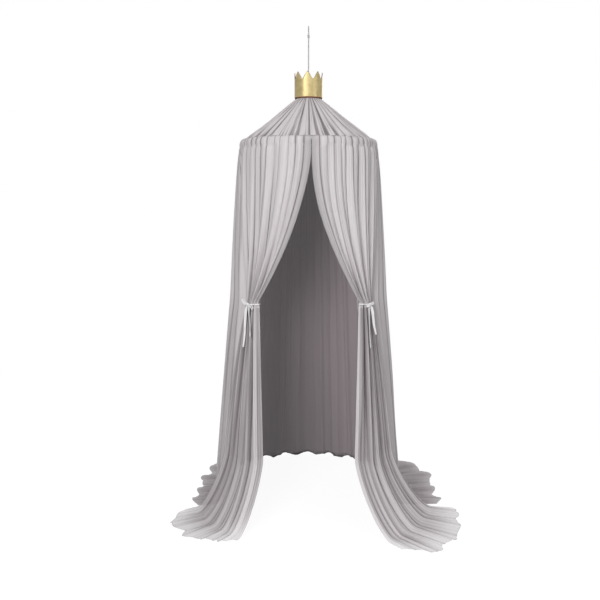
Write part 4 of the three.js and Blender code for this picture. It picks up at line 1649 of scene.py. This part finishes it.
@dataclass
class FrontCurtain:
    """One drawn front width: the cloth above its tie and the cloth below it, out to its train."""

    side: Side
    train: Train
    seed: int
    # The fold below the tie between these shares across is raised and coloured fully lit, a painted
    # highlight.
    raised_painted_highlight_fold: Span
    columns: int = 288
    edge_share: float = 0.05
    edge_rise: float = 0.004
    slit_lean: float = 1.7
    # Painted shade: below the tie the crease mask is scaled by this, so the lower cloth is coloured
    # darker.
    painted_lower_shade: float = 0.6
    tie_bulge: float = 0.003
    fold_depths: tuple[float, float, float] = (0.0042, 0.0044, 0.006)
    fine_depth: float = 0.0008
    bundle_calm: float = 0.55
    upper_rows: tuple[int, int] = (16, 96)
    lower_rows: int = 104
    pivot_angle: float = 52.0

    def __post_init__(self) -> None:
        """Works out the share of the way across for each column, and the folds."""
        self.shares = np.linspace(0.0, 1.0, self.columns + 1)
        self.relief = Relief(self.seed)

    def drop(self, heights: Array, edge: Array) -> tuple[Array, Array]:
        """The hanging cloth.

        Args:
            heights: the heights of its rows.
            edge: where the one raised fold with a painted highlight lies across it, 1 on the fold
                and 0 away from it.

        Returns:
            The points and the painted-shade mask: darker in the creases and below the tie, fully
            lit on the raised fold.
        """
        share, height = self.shares, heights[:, None]
        section = FRONT.at(height)
        down, gathered = PLAN.way_down(height), section["gathered"]
        broad, fine = self.relief.broad(share, down), self.relief.fine(share, down)
        rim, tie, foot = self.fold_depths
        broad_depth = mix(mix(rim, tie, section["above"]), foot, section["below"])
        wave = section["depth"] * fold_wave(share) * FRONT.rounding(share, gathered)
        wave = wave + broad_depth * broad * mix(1.0, self.bundle_calm, gathered)
        wave = wave + self.fine_depth * fine
        from_tie = np.abs(height - PLAN.tie_height) - PLAN.ribbon_width
        bulge = np.exp(-((from_tie / (0.5 * PLAN.ribbon_width)) ** 2))
        wave = wave + self.edge_rise * edge + self.tie_bulge * bulge
        radius = mix(PLAN.rim_side(broad), section["radius"] + wave, PLAN.freed(height))
        angle = self.side.value * mix(section["inner"], section["outer"], share)
        # Painted shade, darker in the creases and below the tie; the raised fold is then coloured
        # fully lit, a painted highlight.
        crease = painted_crease_shade(broad, fine) * mix(1.0, self.painted_lower_shade, section["below"] > 0.0)
        lean = self.lean(section["above"], share)
        return around(angle - lean, radius, height), mix(crease, 1.0, edge)

    def lean(self, above: Amount, share: Array) -> Array:
        """How many degrees the doorway's top lies towards the right, near the inner edges."""
        return self.slit_lean * (1.0 - share) * (1.0 - smooth(above / 0.45))

    def raised_painted_highlight_below_tie(self) -> Array:
        """Where the raised fold with a painted highlight lies below the tie: 1 on it and 0 away
        from it.
        """
        start, end = self.raised_painted_highlight_fold
        return smooth((self.shares - start) / 0.02) * smooth((end - self.shares) / 0.025)

    def upper(self) -> None:
        """The cloth from the rim down to the tie, which bends under the rim."""
        share, word = self.shares, self.side.word
        # The fold at the inner edge is raised and coloured fully lit, a painted highlight.
        edge_raised_painted_highlight = smooth((self.edge_share - share) / (0.5 * self.edge_share))
        heights = hanging_heights(PLAN.tie_height, self.upper_rows)
        hanging, crease = self.drop(heights, edge_raised_painted_highlight)
        angles = self.side.value * FRONT.angles(PLAN.rim_height, share) - self.lean(0.0, share)
        at_rim = self.relief.broad(share, 0.0)
        roll = rim_roll(angles, at_rim)
        points = np.concatenate([roll, hanging[1:]])
        # Painted shade of the folds where the cloth turns over the rim.
        crease = np.concatenate([np.broadcast_to(painted_fold_shade(at_rim), roll.shape[:2]), crease[1:]])
        hem = 0.02 + 1.1 * np.minimum(share * 0.9, 1.0)
        parts = MeshParts().grid(points, (1.1, 0.7), crease=crease, hem=hem)
        nodes = (f"front_{word}_heading", f"front_{word}_drape")
        piece = parts.dressed(f"front_{word}_cloth_upper", TULLE, None, *nodes, cloth=True)
        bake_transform(piece)

    def lower(self) -> None:
        """The cloth from the tie down to the floor and out over it."""
        word = self.side.word
        heights = np.linspace(PLAN.tie_height + 0.002, PLAN.front_bend, self.lower_rows)
        hanging, crease = self.drop(heights, self.raised_painted_highlight_below_tie())
        floor, floor_crease = self.on_floor()
        points = eased(np.concatenate([hanging, floor]), 14)
        length, hem = hem_distance(points)
        crease = np.concatenate([crease, floor_crease])
        parts = MeshParts().grid(points, (1.1, length), crease=crease, hem=hem)
        nodes = (f"front_{word}_foot", f"front_{word}_train")
        piece = parts.dressed(f"front_{word}_cloth_lower", TULLE, None, *nodes, cloth=True)
        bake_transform(piece)

    def on_floor(self) -> tuple[Array, Array]:
        """The bend at the floor and the run over it.

        Returns:
            The points and the painted-shade mask: darker in the creases and overall, fully lit on
            the raised fold.
        """
        share, raised_painted_highlight = self.shares, self.raised_painted_highlight_below_tie()
        section = FRONT.at(PLAN.front_bend)
        angle = self.side.value * FRONT.angles(PLAN.front_bend, share)
        floor = FloorRun(
            stand=around(angle, section["radius"] + self.edge_rise * raised_painted_highlight, 0.0),
            outward=way(angle),
            away=way(self.side.value * between(self.train.angles, share)),
            reach=self.train.run * between(self.train.shares, share) + ragged_hem(share, self.seed),
            wave=fold_wave(share),
            half_depth=float(section["depth"]),
            bend=(PLAN.front_bend, self.train.bend_length),
        )
        points, crease = floor.points(self.relief, share)
        # Painted shade, darker on the floor, and the raised fold coloured fully lit, a painted
        # highlight.
        return points, mix(self.painted_lower_shade * crease, 1.0, raised_painted_highlight)

    def build(self) -> None:
        """Makes both cloths."""
        self.upper()
        self.lower()


@dataclass
class OuterCurtain:
    """The two side widths and the back width, as one cloth."""

    columns_per_width: int = 196
    rows: tuple[int, int] = (12, 92)
    seed: int = 31
    underlap_angle: float = 4.0
    underlap_inset: Span = (0.028, 0.052)
    underlap_ease: float = 9.0
    underlap_end: float = 0.23
    side_gap_angle: float = 4.0
    left_run: float = 0.13
    left_angle: float = 92.0
    left_shares: tuple[float, ...] = (0.55, 0.3, 0.5, 0.8, 0.3)
    right_run: float = 0.2
    right_angle: float = 95.0
    right_shares: tuple[float, ...] = (0.8, 0.6, 0.85, 0.85, 0.15)
    back_run: float = 0.03
    fold_depths: Span = (0.0032, 0.006)
    fine_depth: float = 0.0009
    run_blur: int = 20
    side_share: float = 0.5
    hem_cover: float = 0.09
    # Painted shade: on the floor the crease mask is scaled by this, so the pools are coloured
    # darker.
    painted_floor_shade: float = 0.34

    def edge(self, height: Amount) -> tuple[Array, Array, Array]:
        """The front edge of a side width.

        Args:
            height: heights above the floor.

        Returns:
            Its angle, the angle where it is full out again, and how far it is set in.
        """
        above = PLAN.above_tie(height)
        end = smooth(height / self.underlap_end)
        outer = FRONT.at(height)["outer"]
        free = mix(PLAN.width_angle, outer + self.side_gap_angle, smooth(above))
        lapped = mix(free, outer - self.underlap_angle, smooth((above - 0.03) / 0.2) * end)
        inset = smooth((above - 0.02) / 0.12) * end * mix(*self.underlap_inset, above)
        return np.minimum(free, lapped), outer + self.underlap_ease / 3, inset

    def plan(self, place: Array, height: Amount) -> tuple[Array, Array]:
        """Angles and middle radii of the cloth.

        Args:
            place: places counted in widths from the left front edge.
            height: heights above the floor.

        Returns:
            Both for each place and height.
        """
        edge, full_at, inset = self.edge(height)
        span = 2 * PLAN.width_angle
        left, right = mix(edge, span, place), 360.0 - mix(edge, span, 3.0 - place)
        back = mix(span, 360.0 - span, place - 1.0)
        angle = np.where(place < 1.0, left, np.where(place < 2.0, back, right))
        from_front = np.minimum(angle, 360.0 - angle)
        bell = PLAN.bell_spread * PLAN.dropped(height) ** PLAN.bell_power
        behind = inset * smooth((full_at + self.underlap_ease - from_front) / self.underlap_ease)
        return angle, PLAN.cloth_radius + PLAN.shoulder_at(height) + bell - behind

    def hanging(self, place: Array, relief: Relief) -> tuple[Array, Array]:
        """The cloth from under the rim down to the bend at the floor.

        Args:
            place: places counted in widths from the left front edge.
            relief: the smaller folds.

        Returns:
            The points and the painted-shade mask, darker in the creases.
        """
        height = hanging_heights(PLAN.bend_radius, self.rows)[:, None]
        down, drop = PLAN.way_down(height), PLAN.dropped(height)
        broad, fine = relief.broad(place / 3.0, down), relief.fine(place / 3.0, down)
        angle, middle = self.plan(place, height)
        depth = mix(PLAN.rim_fold_depth, PLAN.hem_fold_depth, drop) / 2
        wave = depth * fold_wave(place) + mix(*self.fold_depths, drop) * broad
        wave = wave + self.fine_depth * fine
        radius = mix(PLAN.rim_side(broad), middle + wave, PLAN.freed(height))
        # Painted shade, darker in the creases.
        return around(angle, radius, height), painted_crease_shade(broad, fine)

    def on_floor(self, place: Array) -> FloorRun:
        """How the cloth turns on the floor and runs out over it, far at the sides.

        Args:
            place: places counted in widths from the left front edge.

        Returns:
            The run, ready to give its points.
        """
        angle, radius = self.plan(place, PLAN.bend_radius)
        left = self.left_run * between(self.left_shares, place)
        right = self.right_run * between(self.right_shares, 3.0 - place)
        run = np.where(place < 1.0, left, np.where(place > 2.0, right, self.back_run))
        soft = np.hanning(2 * self.run_blur + 1)
        run = np.convolve(np.pad(run, self.run_blur, mode="edge"), soft / soft.sum(), mode="valid")
        away = way(angle)
        for side_angle, from_edge in ((self.left_angle, place), (-self.right_angle, 3.0 - place)):
            share = smooth((self.side_share - from_edge) / self.side_share)[:, None]
            away = mix(away, way(side_angle), share)
        return FloorRun(
            stand=around(angle, radius, 0.0),
            outward=way(angle),
            away=away / np.linalg.norm(away, axis=-1, keepdims=True),
            reach=run + ragged_hem(place, self.seed),
            wave=fold_wave(place),
            half_depth=PLAN.hem_fold_depth / 2,
            bend=(PLAN.bend_radius, PLAN.bend_radius),
        )

    def build(self) -> None:
        """Makes the cloth, from the rim to the floor and out over it."""
        place = np.linspace(0.0, 3.0, 3 * self.columns_per_width + 1)
        relief = Relief(self.seed, 3)
        at_rim = relief.broad(place / 3.0, 0.0)
        roll = rim_roll(self.plan(place, PLAN.rim_height)[0], at_rim)
        hanging, crease = self.hanging(place, relief)
        floor, floor_crease = self.on_floor(place).points(relief, place / 3.0)
        points = np.concatenate([roll, eased(np.concatenate([hanging[1:], floor]), 5)])
        # Painted shade: darker in the creases and over the rim, and darker still where the cloth
        # lies on the floor.
        rolled = np.broadcast_to(painted_fold_shade(at_rim), roll.shape[:2])
        shade = np.concatenate([rolled, crease[1:], self.painted_floor_shade * floor_crease])
        length, hem = hem_distance(points)
        parts = MeshParts().grid(points, (3.3, length), crease=shade, hem=self.hem_cover + hem)
        nodes = ("side_left_curtain", "side_right_curtain", "back_curtain")
        piece = parts.dressed("curtain_cloth", TULLE, "canopy", *nodes, cloth=True)


@dataclass
class Tie:
    """The ribbon round one bundle, its knot, two loops and two tails."""

    side: Side
    loop_reach: float
    loop_tilt: float
    thickness: float = 0.0009
    cup_depth: float = 0.0009
    cloth_wall: float = 0.0016
    gap: float = 0.001
    knot_radius: float = 0.007
    knot_depth: float = 0.005
    loop_depth: float = 0.009
    loop_fullness: float = 0.82
    long_tail: Span = (0.178, 0.007)
    short_tail: Span = (0.128, 0.022)
    tail_lean: float = 0.017
    tail_taper: float = 0.62
    pinch: float = 0.45

    def __post_init__(self) -> None:
        """Works out the tie's own axes."""
        angle = self.side.value * PLAN.tie_angle
        self.word = self.side.word
        self.panel = f"{self.word}_panel"
        self.centre = around(angle, PLAN.bundle_radius, PLAN.tie_height)
        self.outward = way(angle)
        self.sideways = np.cross(UP, self.outward) * self.side.value
        self.slack = self.cloth_wall + self.gap
        band_out = PLAN.bundle_depth / 2 + self.slack + self.thickness
        self.knot_out = band_out + PLAN.seat + self.knot_depth

    def place(self, across: Amount, out: Amount, rise: Amount) -> Array:
        """Points in the tie's own ways.

        Args:
            across: how far to the side of the bundle's middle.
            out: how far out from it.
            rise: how far up from the tie's height.

        Returns:
            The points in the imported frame.
        """
        amounts = np.broadcast_arrays(across, out, rise)
        ways = (self.sideways, self.outward, UP)
        return self.centre + sum(much[..., None] * along for much, along in zip(amounts, ways))

    def twisted(self, broad: Array, turn: Array) -> Array:
        """A way across the ribbon, turned outwards by an angle at each point."""
        return broad * np.cos(turn)[:, None] + self.outward * np.sin(turn)[:, None]

    def ribbon(
        self,
        name: str,
        ends: tuple[str, str],
        route: Array,
        broad: Array,
        widths: Array,
        closed: bool = False,
    ) -> None:
        """Makes a ribbon along a route.

        Args:
            name: the piece's name after its side.
            ends: the body that it rides on and the node that it stands for, without its side.
            route: its middle line.
            broad: the way it is wide, for each point.
            widths: its width at each point.
            closed: whether it comes back to its start.
        """
        tangent = np.gradient(route, axis=0)
        if closed:
            tangent = np.roll(route, -1, axis=0) - np.roll(route, 1, axis=0)
        broad = broad / np.linalg.norm(broad, axis=1, keepdims=True)
        thin = np.cross(tangent, broad)
        thin /= np.linalg.norm(thin, axis=1, keepdims=True)
        across = np.linspace(-0.5, 0.5, 9)
        cup = self.cup_depth * (0.25 - across**2) * 4
        selvedge = self.thickness * (1.0 + 0.5 * smooth((np.abs(across) - 0.38) / 0.12)) / 2
        middle = route[:, None] + broad[:, None] * (widths[:, None] * across)[..., None]
        faces = (cup + selvedge, cup - selvedge)
        front, back = (middle + thin[:, None] * face[:, None] for face in faces)
        sections = np.concatenate([front, back[:, ::-1]], axis=1)
        size = (2 * float(widths.mean()), float(lengths_along(route)[-1]))
        parts = MeshParts().swept(sections, size, closed=closed)
        body, node = (f"{self.word}_{end}" for end in ends)
        parts.dressed(f"{self.word}_{name}", SATIN, body, node)

    def band(self) -> None:
        """The turn of ribbon round the bundle, slightly crumpled."""
        turn = np.linspace(0.0, 2 * np.pi, 120, endpoint=False)
        crumple = 0.0006 * np.sin(7 * turn + 1.0) + 0.0004 * np.sin(13 * turn)
        stand = self.slack + self.thickness / 2 + crumple
        route = self.place(
            (PLAN.bundle_width / 2 + stand) * np.cos(turn),
            (PLAN.bundle_depth / 2 + stand) * np.sin(turn),
            0.0012 * np.sin(2 * turn + 0.4),
        )
        broad = UP + 0.08 * np.outer(np.sin(5 * turn), self.outward)
        shares = 0.34 + 0.09 * np.sin(3 * turn + 0.5) + 0.05 * np.sin(11 * turn)
        widths = PLAN.ribbon_width * shares
        self.ribbon("ribbon_band", ("panel", "tie_band"), route, broad, widths, closed=True)

    def knot(self) -> None:
        """The knot: a pulled turn of ribbon with creases that run into it."""
        polar = np.linspace(0.02, np.pi - 0.02, 28)[:, None]
        turn = np.linspace(0.0, 2 * np.pi, 40, endpoint=False)[None, :]
        crease = 1.0 + 0.07 * np.sin(4 * turn + 3.0 * polar) * np.sin(polar)
        reach = self.knot_radius * np.sin(polar) ** 0.8 * crease
        out = self.knot_out + reach * np.sin(turn) * self.knot_depth / self.knot_radius
        rise = self.knot_radius * np.cos(polar) * (0.92 + 0.05 * np.sin(3 * turn))
        parts = MeshParts().swept(self.place(reach * np.cos(turn), out, rise), (0.04, 0.02))
        parts.dressed(f"{self.word}_ribbon_knot", SATIN, self.panel, f"{self.word}_bow_knot")

    def loops(self) -> None:
        """The two loops of the bow."""
        share = np.linspace(0.0, 1.0, 56)
        turn = 2 * np.pi * (share - 0.5)
        out = (1.0 + np.cos(turn)) / 2
        reach = self.knot_radius * 0.7 + self.loop_reach * out
        depth = self.loop_depth / 2 * np.sin(turn) + np.sign(share - 0.5) * self.thickness
        square = np.cross(self.outward, self.loop_reach * self.sideways - self.loop_tilt * UP)
        square /= np.linalg.norm(square)
        widths = PLAN.ribbon_width * mix(0.5, self.loop_fullness, smooth(out / 0.45))
        for name, sign in (("inner", 1.0), ("outer", -1.0)):
            route = self.place(sign * reach, self.knot_out + depth, -sign * self.loop_tilt * out**2)
            broad = self.twisted(square, 0.35 * sign * out)
            self.ribbon(f"ribbon_loop_{name}", ("panel", f"bow_loop_{name}"), route, broad, widths)

    def tails(self) -> None:
        """The two tails, which hang from the knot and twist a little."""
        share = np.linspace(0.0, 1.0, 64)
        pinched = mix(self.pinch, 1.0, smooth(share / 0.08))
        width = PLAN.ribbon_width * pinched * mix(1.05, self.tail_taper, share)
        tails = (("long", -1.0, self.long_tail), ("short", 1.0, self.short_tail))
        for name, to, (length, spread) in tails:
            sign = to * self.side.value
            across = sign * (width / 2 + self.gap / 2 + spread * share)
            lean = self.tail_lean * share * (length / self.long_tail[0])
            out = self.knot_out + lean + 0.0015 * np.sin(7.0 * share)
            route = self.place(across, out, -self.knot_radius * 0.7 - (length - 0.001) * share)
            broad = self.twisted(self.sideways, 0.5 * np.sin(2.6 * share + 0.3) * sign)
            self.ribbon(f"ribbon_tail_{name}", ("tails", f"tail_{name}"), route, broad, width)

    def build(self) -> None:
        """Makes the tie's pieces."""
        self.band()
        self.knot()
        self.loops()
        self.tails()


def seen_share(graph: Graph) -> Socket:
    """Whether a ray looks at the white itself: from the camera, in gloss or through a surface.

    Args:
        graph: the tree that it is made in.

    Returns:
        1 for such rays and 0 for those that only light the cloth.
    """
    rays = graph.node("LightPath")
    seen = graph.math("MAXIMUM", rays["Is Camera Ray"], rays["Is Glossy Ray"])
    return graph.math("MAXIMUM", seen, rays["Is Transmission Ray"])


WHITE: Colour = (1.0, 1.0, 1.0)


@dataclass(frozen=True)
class FloorFinish(Finish):
    """A pale floor that fades into the white around it."""

    glow: float = 0.93
    fade: Span = (0.8, 3.2)

    def looks(self, graph: Graph) -> dict[str, Value]:
        """Dark where it lies under the tent, and only white to look at further out.

        Args:
            graph: the material's own tree.

        Returns:
            The shader's inputs.
        """
        out = graph.mask("out")
        glow = graph.ramp(out, *self.fade, self.glow, 1.0)
        return {
            "Base Color": graph.blend(graph.ramp(out, *self.fade), self.light, self.deep),
            "Roughness": graph.ramp(graph.noise(Scale=5.0, Detail=2.0), 0.3, 0.7, 0.85, 0.95),
            "Specular IOR Level": 0.0,
            "Emission Color": WHITE,
            "Emission Strength": graph.math("MULTIPLY", glow, seen_share(graph)),
        }


FLOOR = FloorFinish("studio_floor", "floor", (0.14, 0.14, 0.14), (0.0, 0.0, 0.0))


@dataclass(frozen=True)
class Lamp:
    """A square soft lamp that looks at the middle of the tent."""

    name: str
    place: tuple[float, float, float]
    size: float
    power: float
    aim: tuple[float, float, float] = (0.0, 0.0, -1.0)

    def build(self) -> None:
        """Hangs the lamp."""
        data = bpy.data.lights.new(self.name, "AREA")
        data.shape = "SQUARE"
        data.size = self.size
        data.energy = self.power
        lamp = bpy.data.objects.new(self.name, data)
        lamp.location = self.place
        sight = Vector(self.aim) - Vector(self.place)
        lamp.rotation_euler = sight.to_track_quat("-Z", "Y").to_euler()
        bpy.context.collection.objects.link(lamp)


LAMPS = (
    Lamp("key", (-1.3, -3.7, 0.2), 1.6, 100.0),
    Lamp("fill", (2.6, -2.6, -0.6), 2.0, 34.0),
    Lamp("back", (1.4, 3.6, 0.1), 2.0, 60.0),
    Lamp("top", (0.4, 0.6, 1.8), 2.0, 8.0),
)


@dataclass
class Studio:
    """The floor, the white surroundings, the lamps and the camera."""

    lens: float = 42.54
    sensor_width: float = 36.0
    camera_place: tuple[float, float, float] = (-0.037, -3.2, 1.46 - PLAN.hang_height)
    camera_tilt: float = 80.7
    ambient: float = 0.32
    floor_drop: float = 0.0006
    floor_radii: tuple[float, ...] = (0.0001, 0.5, 1.0, 1.6, 2.4, 3.6, 5.5, 9.0, 14.0)

    def camera(self) -> None:
        """The photograph's view: level with the upper curtain, tipped down a little."""
        data = bpy.data.cameras.new("view")
        data.lens = self.lens
        data.sensor_width = self.sensor_width
        camera = bpy.data.objects.new("view", data)
        camera.location = self.camera_place
        camera.rotation_euler = (math.radians(self.camera_tilt), 0.0, 0.0)
        bpy.context.collection.objects.link(camera)
        bpy.context.scene.camera = camera

    def surroundings(self) -> None:
        """A world that is white to look at and softer as light."""
        world = bpy.data.worlds.new("studio")
        bpy.context.scene.world = world
        world.use_nodes = True
        graph = Graph(world.node_tree)
        values = {"Value": seen_share(graph), "To Min": self.ambient, "To Max": 1.0}
        strength = graph.node("MapRange", values)[0]
        graph.give(world.node_tree.nodes["Background"], {"Color": WHITE, "Strength": strength})

    def floor(self) -> None:
        """A pale round floor that fades into the white around it."""
        radii = np.array(self.floor_radii)[:, None]
        angles = np.linspace(0.0, 360.0, 64, endpoint=False)[None, :]
        points = around(angles, radii, -self.floor_drop)
        parts = MeshParts().grid(points, (2.0, 14.0), ring=True, out=radii)
        piece = parts.build("studio_floor", cloth=True)
        piece.data.materials.append(FLOOR.material())

    def build(self) -> None:
        """Sets the scene round the tent."""
        self.camera()
        self.surroundings()
        self.floor()
        for lamp in LAMPS:
            lamp.build()
        bpy.context.scene.view_settings.view_transform = "Standard"


def main() -> None:
    """Builds the canopy from the cord down."""
    logging.basicConfig(level=logging.INFO, format="%(name)s: %(message)s")
    left = Train(0.14, 0.13, (0.15, 0.6, 1.0, 1.0, 0.2), (40.0, 43.0, 53.0, 69.0, 88.0))
    right = Train(0.19, 0.2, (0.35, 0.85, 0.8, 0.7, 0.4), (43.0, 47.0, 56.0, 73.0, 90.0))
    for assembly in (
        Studio(),
        Hanger(),
        Neck(),
        Crown(),
        Hoop(),
        Roof(),
        OuterCurtain(),
        FrontCurtain(Side.LEFT, left, 11, (0.06, 0.16)),
        FrontCurtain(Side.RIGHT, right, 17, (-0.03, 0.05)),
        Tie(Side.LEFT, 0.027, 0.019),
        Tie(Side.RIGHT, 0.017, 0.005),
    ):
        assembly.build()


if __name__ == "__main__":
    main()
